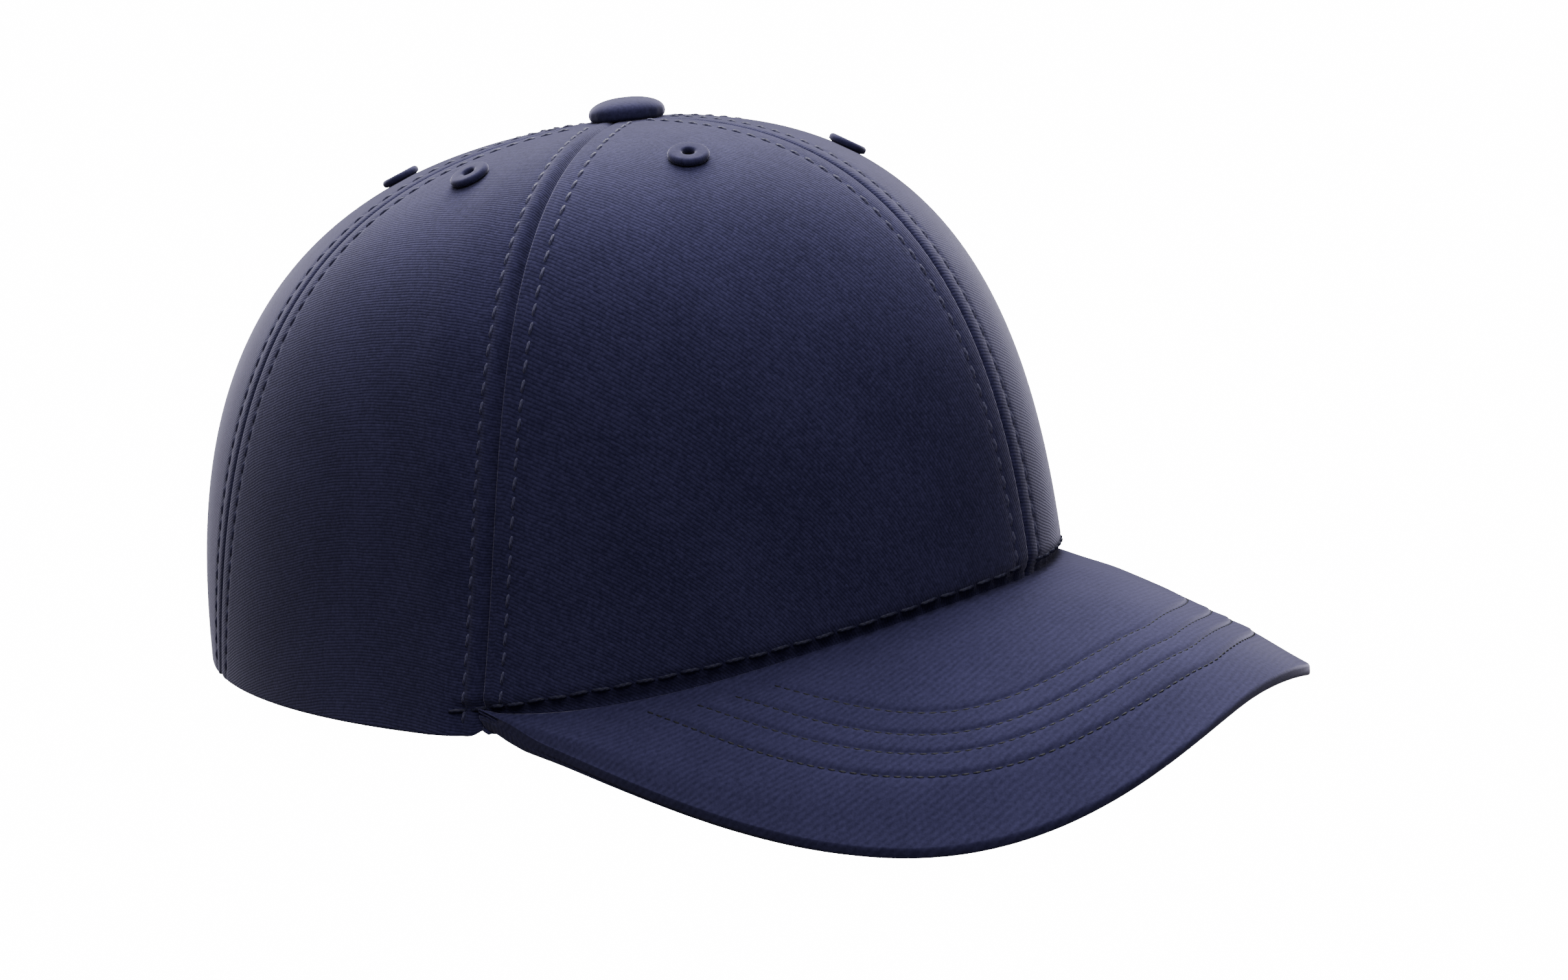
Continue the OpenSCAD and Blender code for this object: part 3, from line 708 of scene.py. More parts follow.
def recess(a, z):
    """How far the crown steps in where the brim is sewn on."""
    a = np.abs(a)
    e = z - np.interp(a, JA, JZ)
    hs = np.maximum(1.2, np.interp(a, CORD_A, CORD_Z) - np.interp(a, JA, JZ))
    k = e / hs
    low = np.interp(k, [-0.3, 0, 0.35, 0.8, 1.0], [-1.6, -1.55, -1.5, -0.5, -0.45])
    high = np.interp(e - hs, [0, 0.8, 2, 5], [-0.45, -0.1, 0.15, 0])
    return np.where(k < 1, low, high) * (1 - smoothstep(a, 80.5, 87.5))


def pucker(a, t, seed):
    r = np.random.RandomState(seed)
    s = np.zeros(np.broadcast(a, t).shape)
    for _ in range(7):
        fa, ft, p = r.uniform(0.03, 0.16), r.uniform(2, 11), r.uniform(0, 6.28)
        s = s + np.sin(fa * a + ft * t * r.choice([-1, 1]) + p)
    return s / 7


PANELS = {}


def panel_kinds(kind):
    if kind == "front":
        return (lambda u, t: u * side_seam(t)), (lambda u: np.interp(u * 81, EA, ET)), np.linspace(0, 1, 200)
    if kind == "side":
        return (lambda u, t: side_seam(t) * (1 - u) + rear_seam(t) * u), (lambda u: np.interp(81 + 58 * u, EA, ET)), np.linspace(0, 1, 160)
    a0 = np.concatenate([np.linspace(139, 158.7, 60), 180 - 21 * np.cos(np.linspace(0, 90, 120) * D2R)])
    q = np.concatenate([np.full(60, -1.0), np.linspace(0, 90, 120)])
    t0 = np.where(q < 0, 0.0, t_at(a0, arch_height(np.maximum(q, 0))))
    u = (a0 - rear_seam(t0)) / (180 - rear_seam(t0))
    u[0] = 0
    u = np.maximum.accumulate(u + np.arange(len(u)) * 1e-7)
    u[-1] = 1.0
    return (lambda v, t: rear_seam(t) * (1 - v) + 180 * v), (lambda v: np.interp(v, u, t0)), u


def crown_panel(name, kind, left, low_side, high_side, ribs, seed, rows=178):
    af, t0f, us = panel_kinds(kind)
    start = np.array([0, .04, .1, .2, .35, .55, .8, 1.15, 1.6]) / 160
    f = np.concatenate([start, np.linspace(1.6 / 160, 1, rows)[1:]])
    us = np.unique(np.concatenate([us, np.linspace(0, 1, 60)]))
    U, F = np.meshgrid(us, f, indexing="ij")
    T0 = t0f(U)
    T = T0 + (T_TOP - T0) * F
    L = run(surf(af(U, T), T), 0)
    W = L[-1]
    wmax = W.max()
    inner_n = int((wmax - 27) / 2.1)
    k = np.linspace(0, 1, inner_n + 2)[1:-1]
    cols = []
    for j in range(len(f)):
        g = min(1.0, W[j] / 36)
        d = np.concatenate([NEAR * g, 13.5 * g + (W[j] - 27 * g) * k, W[j] - NEAR[::-1] * g])
        cols.append(np.interp(d, L[:, j], U[:, j]))
    U = np.stack(cols, 1)
    F = np.broadcast_to(f, U.shape)
    T0 = t0f(U)
    T = T0 + (T_TOP - T0) * F
    A = af(U, T)
    mid = surf(A, T)
    dl = run(mid, 0)
    dr = dl[-1:] - dl
    e = run(mid, 1)
    disp = np.interp(dl, *low_side) + np.interp(dr, *high_side)
    rows_mask = smoothstep(np.minimum(dl, dr) * 0 + W_at(dl), 11, 16)
    for d in (dl, dr):
        disp = disp - 0.13 * np.exp(-((d - STITCH_AT) / 0.8) ** 2) * rows_mask
    disp = disp + 0.045 * pucker(A, T, seed) * smoothstep(np.minimum(dl, dr), 4, 12)
    disp = np.maximum(disp, -1.6) * (0.35 + 0.65 * smoothstep(W_at(dl), 6, 30))
    z = mid[..., 2]
    rc = recess(A, z)
    disp = np.where(rc < -0.01, np.minimum(disp, 0.35) + rc, disp)
    disp = np.clip(disp, -2.0, 0.6)
    inner = np.maximum(CLOTH, -disp + 0.5)
    r = 0.6
    kk = np.sqrt(np.maximum(0, 1 - (1 - np.clip(e / r, 0, 1)) ** 2))
    c = (inner - disp) / 2
    half = (inner + disp) / 2
    o_off, i_off = c - np.maximum(half * kk, 0.02), c + np.maximum(half * kk, 0.02)
    P, Q = surf(A, T, o_off), surf(A, T, i_off)
    if kind != "rear":
        lift = 0.9 * (np.exp(-(dl / 1.3) ** 2) * (kind == "side") + np.exp(-(dr / 1.3) ** 2)) * np.exp(-e / 3)
    else:
        lift = 0.9 * np.exp(-(dl / 1.3) ** 2) * np.exp(-e / 3)
    P[..., 2] += lift
    Q[..., 2] += lift
    th = ribs(A)
    w, l = rib_map(mid, th, kind == "rear"), rib_map(mid, th - 90, kind == "rear")
    part = slab_part(P, Q, np.stack([w, l], -1))
    pts = flip(part[0]) if left else part[0]
    o = make(name, pts, part[1], M_CROWN, "cap", ("%s_panel_%s" % (kind, "left" if left else "right"),), part[2])
    PANELS[name] = dict(P=P, A=A, T=T, dl=dl, dr=dr, W=dl[-1], e=e, left=left, disp=disp)
    return o


def W_at(dl):
    return np.broadcast_to(dl[-1:], dl.shape)


crown_panel("front_panel_right_cloth", "front", False, SHARP, SHARP, RIB["front_right"], 1)
crown_panel("front_panel_left_cloth", "front", True, NARROW, SHARP, RIB["front_left"], 2)
crown_panel("side_panel_right_cloth", "side", False, ROLLED, SHARP, RIB["side_right"], 3)
crown_panel("side_panel_left_cloth", "side", True, ROLLED, SHARP, RIB["side_left"], 4)
crown_panel("rear_panel_right_cloth", "rear", False, NARROW, SHARP, RIB["rear_right"], 5)
crown_panel("rear_panel_left_cloth", "rear", True, NARROW, NARROW, RIB["rear_left"], 6)


def row_line(panel, which, d, e0=1.2, wmin=11.0):
    """The line on a panel that stays d from its low or high side, upwards from e0 above the edge."""
    g = PANELS[panel]
    D = g["dl"] if which == "low" else g["dr"]
    out, nor = [], []
    for j in range(D.shape[1]):
        if g["W"][j] < wmin:
            break
        x, P = D[:, j], g["P"][:, j]
        if which == "high":
            x, P = x[::-1], P[::-1]
            a, t = g["A"][::-1, j], g["T"][::-1, j]
        else:
            a, t = g["A"][:, j], g["T"][:, j]
        ee = np.interp(d, x, g["e"][:, j] if which == "low" else g["e"][::-1, j])
        if ee < e0:
            continue
        out.append([np.interp(d, x, P[:, i]) for i in range(3)])
        nor.append(normal(np.interp(d, x, a), np.interp(d, x, t)))
    out, nor = np.array(out), np.array(nor)
    if g["left"]:
        out, nor = flip(out), flip(nor)
    return out, nor


def crown_rows():
    parts = []
    k = 0
    for side in ("right", "left"):
        for kind, which in (("front", "low"), ("front", "high"), ("side", "low"), ("side", "high"), ("rear", "low"), ("rear", "high")):
            k += 1
            e0 = 6.5 if kind == "front" and which == "low" else (5.2 if kind == "front" else (2.6 if kind == "side" and which == "low" else (1.5 if kind != "rear" or which == "low" else 6.5)))
            P, N = row_line("%s_panel_%s_cloth" % (kind, side), which, STITCH_AT, e0)
            parts.append(thread_part(P, N, pitch=4.0, length=3.0, radius=0.36, rise=0.1, sink=0.38, start=0.7 * (k % 3), turn=0.1))
    return parts


threads("crown_topstitching", crown_rows(), M_THREAD)


# ------------------------------------------------------------------ brim
def brim_pt(u, s, off, gap=0.15):
    u, s, off = np.broadcast_arrays(np.asarray(u, float), np.asarray(s, float), np.asarray(off, float))
    a = u * BRIM_END
    j = surf(a, join_t(np.abs(a)), -gap)
    ex, ey = brim_edge(u)
    x, y = j[..., 0] + (ex - j[..., 0]) * s, j[..., 1] + (ey - j[..., 1]) * s
    L = np.hypot(ex - j[..., 0], ey - j[..., 1])
    low = 1.95 - 0.9 * (1 - smoothstep(u, -0.12, 0.1)) - 0.3 * smoothstep(u, 0.5, 0.8)
    droop = low * (1 - smoothstep((1 - s) * L, 0.0, 16.0)) * smoothstep(L, 2.0, 14.0)
    droop = droop + 1.0 * (1 - smoothstep(s * L, 0.0, 15.0)) * smoothstep(L, 4.0, 20.0)
    droop = droop + 0.9 * (1 - smoothstep(L, 0.0, 7.0))
    z = brim_z(x, y) - droop - off * (1 + (brim_steep(x, y) - 1) * np.clip(2 * s, 0, 1))
    return np.stack([x, y, z], -1)


def brim_thick(s, L, u):
    """The brim is thick over its board and thin along its edge."""
    d = np.clip((1 - s) * L / 15.0, 0, 1)
    e = 1.75 + 0.75 * (1 - smoothstep(u, -0.12, 0.1))
    return (e + (BRIM_T - e) * (1 - (1 - d) ** 2)) * (0.5 + 0.5 * smoothstep(L, 1.0, 11.0))


def brim_outline(n=400):
    u = np.sin(np.linspace(-88, 88, n) * D2R)
    return brim_pt(u, 1.0, 0.0)


EDGE = brim_outline()


def edge_gap(p):
    """Distance from points to the brim's outer edge, with the shift that brings the sewn rows nearer to it at the middle."""
    q = p.reshape(-1, 3)
    best = np.full(len(q), 1e9)
    for i in range(0, len(q), 4000):
        d = np.linalg.norm(q[i:i + 4000, None] - EDGE[None], axis=-1)
        best[i:i + 4000] = d.min(1)
    d = best.reshape(p.shape[:-1])
    return d - 0.35 + 5.3 * (1 - np.minimum(1, np.abs(p[..., 0]) / 62) ** 0.8)


ROWS = [15.0, 20.5, 25.3, 31.0]


def saw(d):
    x = [0, 14.2, 14.95, 15.1, 15.8, 20.35, 20.6, 21.3, 25.15, 25.4, 26.1, 30.85, 31.1, 31.9, 44, 90]
    y = [0, 0.0, -0.13, -0.08, 0.3, 0.02, -0.1, 0.3, 0.02, -0.1, 0.3, 0.02, -0.1, 0.3, 0.0, 0.0]
    return np.interp(d, x, y)


def brim_columns(n):
    return np.sin(np.linspace(-87.5, 87.5, n) * D2R)


def brim_stations(u, marks, s_in):
    """For each column, the place s of each mark of distance from the edge, packed up under the crown where the brim is narrow."""
    fine = np.linspace(1, s_in, 160)
    P = brim_pt(u[:, None], fine[None, :], 0.0)
    D = edge_gap(P)
    out = []
    for i in range(len(u)):
        d = np.maximum.accumulate(D[i] + np.arange(160) * 1e-5)
        end = d[-1]
        m = np.minimum(marks, end - 0.012 * (len(marks) - np.arange(len(marks))))
        m = np.maximum.accumulate(np.maximum(m, d[0] + 0.004 * np.arange(len(marks))))
        out.append(np.interp(m, d, fine))
    return np.array(out)


def brim_cover(top=True, n=230):
    u = brim_columns(n)
    J, E = brim_pt(u, 0.0, 0.0), brim_pt(u, 1.0, 0.0)
    L = np.linalg.norm((E - J)[:, :2], axis=1)
    r = np.minimum(0.5, 0.02 * L + 0.3)
    marks = [1.5 + 5.3 * 0]
    base = np.concatenate([np.arange(1.6, 14.2, 1.4), [14.2, 14.6, 14.95, 15.1, 15.4, 15.8, 16.6, 17.6, 18.8, 19.8, 20.35, 20.6, 20.9, 21.3, 22.2, 23.2, 24.3, 25.15, 25.4, 25.7, 26.1, 27, 28, 29.2, 30.3, 30.85, 31.1, 31.5, 31.9, 33], np.arange(34.5, 76, 1.7)])
    # the first marks follow the edge, so they are taken by plain distance and blended into the shifted one
    s_in = -2.1 / np.maximum(L, 3)
    S = []
    fine_n = 200
    for i in range(n):
        fine = np.linspace(1 - r[i] / L[i], s_in[i], fine_n)
        P = brim_pt(u[i], fine, 0.0)
        D = edge_gap(P)
        d0 = D[0]
        d = np.maximum.accumulate(D + np.arange(fine_n) * 1e-5)
        mk = np.where(base < 14.2, d0 + (14.2 - d0) * (base - base[0]) / (14.2 - base[0]), base) if d0 < 14 else base
        end = d[-1]
        m = np.minimum(mk, end - 0.012 * (len(mk) - np.arange(len(mk))))
        m = np.maximum.accumulate(np.maximum(m, d0 + 0.004 * np.arange(len(mk))))
        # where the rays run along the edge its distance says nothing, so the marks are spread evenly there
        b = 1 - smoothstep(end, 4.0, 12.0)
        S.append((1 - b) * np.interp(m, d, fine) + b * np.interp(np.linspace(0, 1, len(mk)), np.linspace(0, 1, fine_n), fine))
    S = np.array(S)
    q = np.linspace(0, 90, 7)[:-1] * D2R
    wall = np.array([1.74, 1.68, 1.52, 1.28, 0.95]) if top else np.array([0.62, 0.56])
    tuck = 0.0 if top else 1.5
    cols_s, cols_o = [], []
    for rr_, S_, L_ in ((r, S, L),):
        arc_s = 1 - (rr_[:, None] * (1 - np.cos(q))[None, :]) / L_[:, None]
        arc_o = rr_[:, None] * (1 - np.sin(q))[None, :]
        tall = (wall[None, :] - rr_[:, None]) * (0.45 + 0.55 * smoothstep(L_, 1.0, 11.0))[:, None]
        wall_o = rr_[:, None] + tall * (1 + (0.6 if top else 0.0) * (1 - smoothstep(u, -0.12, 0.1)))[:, None]
        wall_o = np.maximum(wall_o, rr_[:, None] + 0.02 * np.arange(len(wall))[::-1][None, :] + 0.02)
        turn = np.array([1.1, 0.62, 0.26, 0.06, 0]) if top else np.zeros(2)
        cols_s = np.concatenate([1 - turn[None, :] / L_[:, None], arc_s, S_], 1)
        cols_s = cols_s - tuck / L_[:, None] * smoothstep(cols_s, 0.0, 0.7)
        cols_o = np.concatenate([wall_o, arc_o, np.zeros_like(S_)], 1)
    mid = brim_pt(u[:, None], cols_s, np.zeros_like(cols_s))
    D = edge_gap(mid)
    if top:
        disp = saw(D)
        g = np.random.RandomState(11)
        for _ in range(5):
            disp = disp + 0.05 * np.sin(mid[..., 0] * g.uniform(0.05, 0.25) + mid[..., 1] * g.uniform(0.05, 0.2) + g.uniform(0, 6)) * smoothstep(D, 3, 9)
    else:
        disp = np.zeros_like(D)
        for x in ROWS:
            disp = disp - 0.28 * np.exp(-((D - x) / 0.8) ** 2)
    fade = smoothstep(1 - cols_s, 0.0, 0.02) * smoothstep(cols_s * L[:, None], 0.5, 6.0)
    disp = disp * fade
    t = 0.65
    if top:
        P = brim_pt(u[:, None], cols_s, cols_o - disp)
        s2 = np.minimum(cols_s, 1 - t / L[:, None])
        o2 = np.maximum(cols_o, t)
        Q = brim_pt(u[:, None], s2, o2)
    else:
        P = brim_pt(u[:, None], cols_s, brim_thick(cols_s, L[:, None], u[:, None]) - (cols_o - disp))
        s2 = np.minimum(cols_s, 1 - t / L[:, None])
        o2 = brim_thick(s2, L[:, None], u[:, None]) - np.maximum(cols_o, t)
        Q = brim_pt(u[:, None], s2, o2)
    # the map is laid out level, along the arch, so that the ribs keep their pitch where the brim drops
    k = 0.01184
    arc = mid[..., 0] / 2 * np.sqrt(1 + (k * mid[..., 0]) ** 2) + np.arcsinh(k * mid[..., 0]) / (2 * k)
    deep = 1.053 * mid[..., 1] - np.minimum(cols_o, 4.0)
    gx, gy = arc / 50, (deep + 90) / 50
    w, l = 59.0 * (0.858 * gy - 0.15 * gx ** 2 + 0.087 * gx * gy + 0.015 * gy ** 2), arc + 0.1 * deep
    k = smoothstep(np.abs(u), 0.9965, 0.9995)[:, None, None] * 0.9
    for G in (P, Q):
        rad = G[..., :2] / np.linalg.norm(G[..., :2], axis=-1, keepdims=True)
        G[..., :2] -= rad * k
    part = slab_part(P, Q, np.stack([w, l], -1))
    name = "brim_top_cloth" if top else "brim_under_cloth"
    o = make(name, part[0], part[1], M_BRIM if top else M_UNDER, "cap", ("brim_top_cover" if top else "brim_under_cover",), part[2])
    return dict(P=P, D=D, u=u, S=cols_s, mid=mid)


TOP = brim_cover(True)
UNDER = brim_cover(False, 180)


def board():
    u = np.sin(np.linspace(-74, 74, 120) * D2R)
    L = np.linalg.norm((brim_pt(u, 1.0, 0.0) - brim_pt(u, 0.0, 0.0))[:, :2], axis=1)
    f = np.concatenate([[0, 0.01, 0.03], np.linspace(0.07, 0.93, 24), [0.97, 0.99, 1]])
    S = 0.6 / L[:, None] + (1 - 3.6 / L[:, None]) * f[None, :]
    half = brim_thick(S, L[:, None], u[:, None]) / 2
    mid = brim_pt(u[:, None], S, half)
    e = edge_distance(mid)
    h = np.maximum(0.03, np.maximum(0.2, half - 1.1) * np.sqrt(np.maximum(0, 1 - (1 - np.clip(e / 0.8, 0, 1)) ** 2)))
    part = slab_part(brim_pt(u[:, None], S, half - h), brim_pt(u[:, None], S, half + h))
    make("brim_board_moulding", part[0], part[1], M_BOARD, "cap", ("brim_board",), part[2])


board()


def brim_row(g, mark, up=1.0):
    pts, nor = [], []
    P, D = g["P"], g["D"]
    n, m = D.shape
    k0 = 0
    for i in range(n):
        j = np.argmax(D[i] > mark)
        if j < 2 or D[i, j] <= mark:
            if pts:
                yield np.array(pts), np.array(nor)
                pts, nor = [], []
            continue
        # hidden under the crown
        k = (mark - D[i, j - 1]) / max(1e-6, D[i, j] - D[i, j - 1])
        if g["S"][i, j] < -0.0 / 60:
            if pts:
                yield np.array(pts), np.array(nor)
                pts, nor = [], []
            continue
        p = P[i, j - 1] + (P[i, j] - P[i, j - 1]) * k
        i1, i0 = min(n - 1, i + 1), max(0, i - 1)
        tx = P[i1, j] - P[i0, j]
        ty = P[i, min(m - 1, j + 3)] - P[i, max(0, j - 3)]
        nn = np.cross(tx, ty)
        nn /= np.linalg.norm(nn) + 1e-12
        if nn[2] * up < 0:
            nn = -nn
        pts.append(p)
        nor.append(nn)
    if pts:
        yield np.array(pts), np.array(nor)


def brim_threads(g, up):
    parts = []
    for x in ROWS:
        for P, N in brim_row(g, x, up):
            if len(P) > 4:
                parts.append(thread_part(P, N, pitch=2.2, length=1.8, radius=0.21, rise=0.0, sink=0.25, rings=7, sides=6))
    return parts


threads("brim_topstitching", brim_threads(TOP, 1.0), M_BRIM_THREAD_SHADED)
threads("brim_under_stitching", brim_threads(UNDER, -1.0), M_BRIM_THREAD_SHADED)


def join_stitching():
    parts = []
    for sgn in (1, -1):
        a = np.linspace(86, 0.6, 500)
        z = np.interp(a, CORD_A, CORD_Z) + 0.1 * np.sin(a * 0.9)
        t = t_at(a, z)
        zz = prof(a, t)[1]
        P = surf(a, t, -recess(a, zz) - 0.05)
        N = normal(a, t)
        if sgn < 0:
            P, N = flip(P), flip(N)
        parts.append(thread_part(P, N, pitch=4.7, length=4.25, radius=0.44, rise=0.22, sink=0.55, rings=11, sides=10, turn=0.0, taper=0.5))
    return parts


threads("brim_join_stitching", join_stitching(), M_JOIN_SHADED)


# ------------------------------------------------------------------ button and eyelets
def lathe(profile, n=48):
    """profile is (radius, height) pairs from the axis outwards and back; rings wrap round +Z."""
    pr = np.asarray(profile, float)
    phi = np.arange(n) * 2 * math.pi / n
    P = np.stack([pr[None, :, 0] * np.cos(phi)[:, None], pr[None, :, 0] * np.sin(phi)[:, None], np.broadcast_to(pr[None, :, 1], (n, len(pr)))], -1)
    return P


def lathe_part(profile, n=48, place=None):
    P = lathe(profile, n)
    m = P.shape[1]
    pts = P.reshape(-1, 3)
    faces = [faces_of(n, m, 0, True)]
    i = np.arange(n)
    k = (i + 1) % n
    faces.append(np.stack([i * m + m - 1, k * m + m - 1, k * m, i * m], -1))
    uv = np.stack([np.broadcast_to(np.arange(n)[:, None] * 2 * math.pi / n * 4, (n, m)), run(P, 1)], -1).reshape(-1, 2)
    if volume(pts - pts.mean(0), faces) < 0:
        faces = [f[:, ::-1] for f in faces]
    if place is not None:
        pts = place(pts)
    return pts, faces, uv


def button():
    R, H = 8.7, 4.75
    pr = [(0.01, -0.3), (4.0, -0.3), (6.2, -0.3), (7.2, -0.28)]
    for q in np.linspace(-60, 89.8, 30):
        cq, sq = abs(math.cos(q * D2R)) ** (2 / 2.2), math.copysign(abs(math.sin(q * D2R)) ** (2 / 2.2), q)
        pr.append((R * cq, 1.2 + (H - 1.2 if q > 0 else 1.6) * sq) if q > 0 else (R - 1.5 + 1.5 * cq, 1.2 + 1.6 * sq))
    P = lathe(pr, 72)
    n, m = P.shape[:2]
    ang = np.arange(n) * 2 * math.pi / n
    # the cloth is gathered under the rim in shallow folds
    z = P[..., 2]
    k = np.exp(-((z - 0.9) / 0.8) ** 2) * (P[..., 0] ** 2 + P[..., 1] ** 2 > 36)
    P[..., :2] *= 1 - (0.022 * k * (0.5 + 0.5 * np.cos(ang * 18)[:, None]))[..., None]
    P[..., 2] += CH + 0.2
    P[..., 0] += 0.1
    P[..., 1] -= 0.1
    pts = P.reshape(-1, 3)
    faces = [faces_of(n, m, 0, True)]
    i = np.arange(n)
    faces.append((i * m)[::-1])
    faces.append(i * m + m - 1)
    uv = np.stack([P[..., 0], P[..., 1]], -1)
    make("top_button_cloth", pts, faces, M_BUTTON, "cap", ("top_button",), uv)


button()


def crown_frame(a, t, out):
    p, n = surf(a, t, -out), normal(a, t)
    up = surf(a, t + 0.004) - surf(a, t - 0.004)
    up /= np.linalg.norm(up)
    return p, np.cross(up, n), up, n


def eyelets():
    parts, hole_shades, st = [], [], []
    pr = [(1.35, -0.9), (1.35, 0.5)]
    for q in np.linspace(180, 90, 6):
        pr.append((2.1 + 0.75 * math.cos(q * D2R), 0.75 + 0.7 * math.sin(q * D2R)))
    for q in np.linspace(90, -25, 9):
        pr.append((3.55 + 0.95 * math.cos(q * D2R), 0.6 + 0.88 * math.sin(q * D2R)))
    pr += [(4.35, 0.02), (4.0, -0.12), (2.2, -0.9)]
    for a, t in [[33.5, .785], [104.5, .785], [152.5, .76], [207.5, .76], [255.5, .785], [329, .74]]:
        p, X, Y, N = crown_frame(a, t, 0.25)

        def place(q):
            return p + q[:, :1] * X + q[:, 1:2] * Y + q[:, 2:] * N
        P = lathe(pr, 60)
        ang = np.arange(60) * 2 * math.pi / 60
        # satin stitches round the ring
        k = np.clip(P[..., 2] / 1.5, 0, 1)
        P = P * (1 + (0.012 * k * np.cos(ang * 30)[:, None]))[..., None]
        m = P.shape[1]
        pts = P.reshape(-1, 3)
        faces = [faces_of(60, m, 0, True)]
        i = np.arange(60)
        kx = (i + 1) % 60
        faces.append(np.stack([i * m + m - 1, kx * m + m - 1, kx * m, i * m], -1))
        if volume(pts - pts.mean(0), faces) < 0:
            faces = [f[:, ::-1] for f in faces]
        uv = np.stack([np.broadcast_to(ang[:, None] * 4, (60, m)), run(P, 1)], -1).reshape(-1, 2)
        parts.append((place(pts), faces, uv))
        # a near-black disc inside each ring: painted shade of the hole into the cap
        h, hf, huv = lathe_part([(0.02, 0.22), (1.5, 0.22), (1.5, 0.1), (0.02, 0.1)], 24)
        hole_shades.append((place(h), hf, huv))
    pts, faces, uv = join_parts(parts)
    make("eyelet_rings", pts, faces, M_EYELET, "cap", ("eyelets",), uv, closed=False)
    pts, faces, uv = join_parts(hole_shades)
    make("eyelet_hole_painted_shade", pts, faces, M_HOLE_SHADE, "cap", (), uv, closed=False)


eyelets()


# ------------------------------------------------------------------ sweatband, interlining and tapes
def declare_leaf(o, mid):
    n, m = mid.shape[:2]
    wide = float(run(mid, 1)[:, -1].max())
    long_ = float(run(mid, 0)[-1].max())


def edge_threads(P, N, **kw):
    base = dict(pitch=3.0, length=2.1, radius=0.2, rise=0.12, sink=0.25, rings=7, sides=6)
    base.update(kw)
    return thread_part(P, N, **base)


def sweatband():
    a = np.linspace(-153.4, 153.4, 260)
    z0 = prof(a, edge_t(a))[1] + 0.6
    z1 = np.maximum(z0 + 12, 28 + 0.35 * z0)
    f = np.concatenate([[0, 0.012, 0.03, 0.055, 0.09], np.linspace(0.13, 0.87, 12), [0.91, 0.945, 0.97, 0.988, 1]])
    A = np.broadcast_to(a[:, None], (len(a), len(f)))
    Z = z0[:, None] + (z1 - z0)[:, None] * f[None, :]
    T = t_at(A, Z)
    mid = surf(A, T, 3.3)
    e = edge_distance(mid)
    k = np.sqrt(np.maximum(0, 1 - (1 - np.clip(e / 1.3, 0, 1)) ** 2))
    h = np.maximum(1.2 * k, 0.03)
    r = Z - z0[:, None]
    dip = 0.55 * np.exp(-((z1[:, None] - Z - 2.6) / 0.7) ** 2) + 0.5 * np.exp(-((r - 2.6) / 0.7) ** 2)
    swell = 0.12 * np.sin(A * 0.9) * np.sin(f * math.pi)[None, :]
    O, I = surf(A, T, 3.3 - h), surf(A, T, 3.3 + h - dip * k + swell)
    part = slab_part(O, I)
    o = make("sweatband_cloth", part[0], part[1], M_BAND, "cap", ("sweatband",), part[2])
    parts = []
    for zz in (z0 + 2.6, z1 - 2.6):
        aa = np.linspace(-152.5, 152.5, 700)
        z = np.interp(aa, a, zz)
        t = t_at(aa, z)
        parts.append(edge_threads(surf(aa, t, 3.95), -normal(aa, t)))
    threads("sweatband_stitching", parts, M_THREAD)


sweatband()


def buckram():
    for side in ("right", "left"):
        us = np.linspace(1 / 9, 8 / 9, 40)
        fs = np.linspace(3 / 15, 8 / 15, 34)
        U, F = np.meshgrid(us, fs, indexing="ij")
        T0 = np.interp(U * 81, EA, ET)
        T = T0 + (T_TOP - T0) * F
        A = U * side_seam(T)
        mid = surf(A, T, 1.55)
        e = edge_distance(mid)
        k = np.sqrt(np.maximum(0, 1 - (1 - np.clip(e / 0.3, 0, 1)) ** 2))
        w = 0.05 * pucker(A, T, 21)
        O, I = surf(A, T, 1.6 - np.maximum(0.22 * k, 0.03) + w), surf(A, T, 1.6 + np.maximum(0.22 * k, 0.03) + w)
        part = slab_part(O, I)
        pts = flip(part[0]) if side == "left" else part[0]
        o = make("front_buckram_" + side, pts, part[1], M_BUCKRAM, "cap", ("front_buckram",), part[2])
        declare_leaf(o, mid)


buckram()


def tapes():
    T180 = float(t_at(180.0, 44.0))
    spec = [("front", lambda t: t * 0, float(edge_t(0.0)), False), ("side_right", side_seam, 0.0, False), ("side_left", side_seam, 0.0, True),
            ("rear_right", rear_seam, 0.0, False), ("rear_left", rear_seam, 0.0, True), ("rear", lambda t: t * 0 + 180, T180, False)]
    rows_ = []
    for name, af, t0, left in spec:
        f = np.linspace(3 / 15, 13 / 15, 90)
        t = t0 + (T_TOP - t0) * f
        x = np.array([-5.5, -5.3, -5, -4.5, -3.6, -2.6, -1.6, -0.7, 0, 0.7, 1.6, 2.6, 3.6, 4.5, 5, 5.3, 5.5])
        T, X = np.meshgrid(t, x, indexing="ij")
        r = prof(af(T), T)[0]
        A = af(T) + X / r * 57.3
        bump = 1.55 + 0.85 * np.exp(-(X / 2.6) ** 2)
        mid = surf(A, T, bump)
        e = edge_distance(mid)
        k = np.maximum(0.24 * np.sqrt(np.maximum(0, 1 - (1 - np.clip(e / 0.3, 0, 1)) ** 2)), 0.03)
        O, I = surf(A, T, bump - k), surf(A, T, bump + k)
        part = slab_part(O, I)
        pts = flip(part[0]) if left else part[0]
        o = make("seam_tape_" + name, pts, part[1], M_TAPE, "cap", ("seam_tapes",), part[2])
        declare_leaf(o, mid)
        for xx in (-4.2, 4.2):
            aa = af(t) + xx / prof(af(t), t)[0] * 57.3
            P, N = surf(aa, t, 1.83), -normal(aa, t)
            if left:
                P, N = flip(P), flip(N)
            rows_.append(edge_threads(P, N, pitch=4.0, length=2.9))
    threads("seam_tape_stitching", rows_, M_THREAD)


tapes()


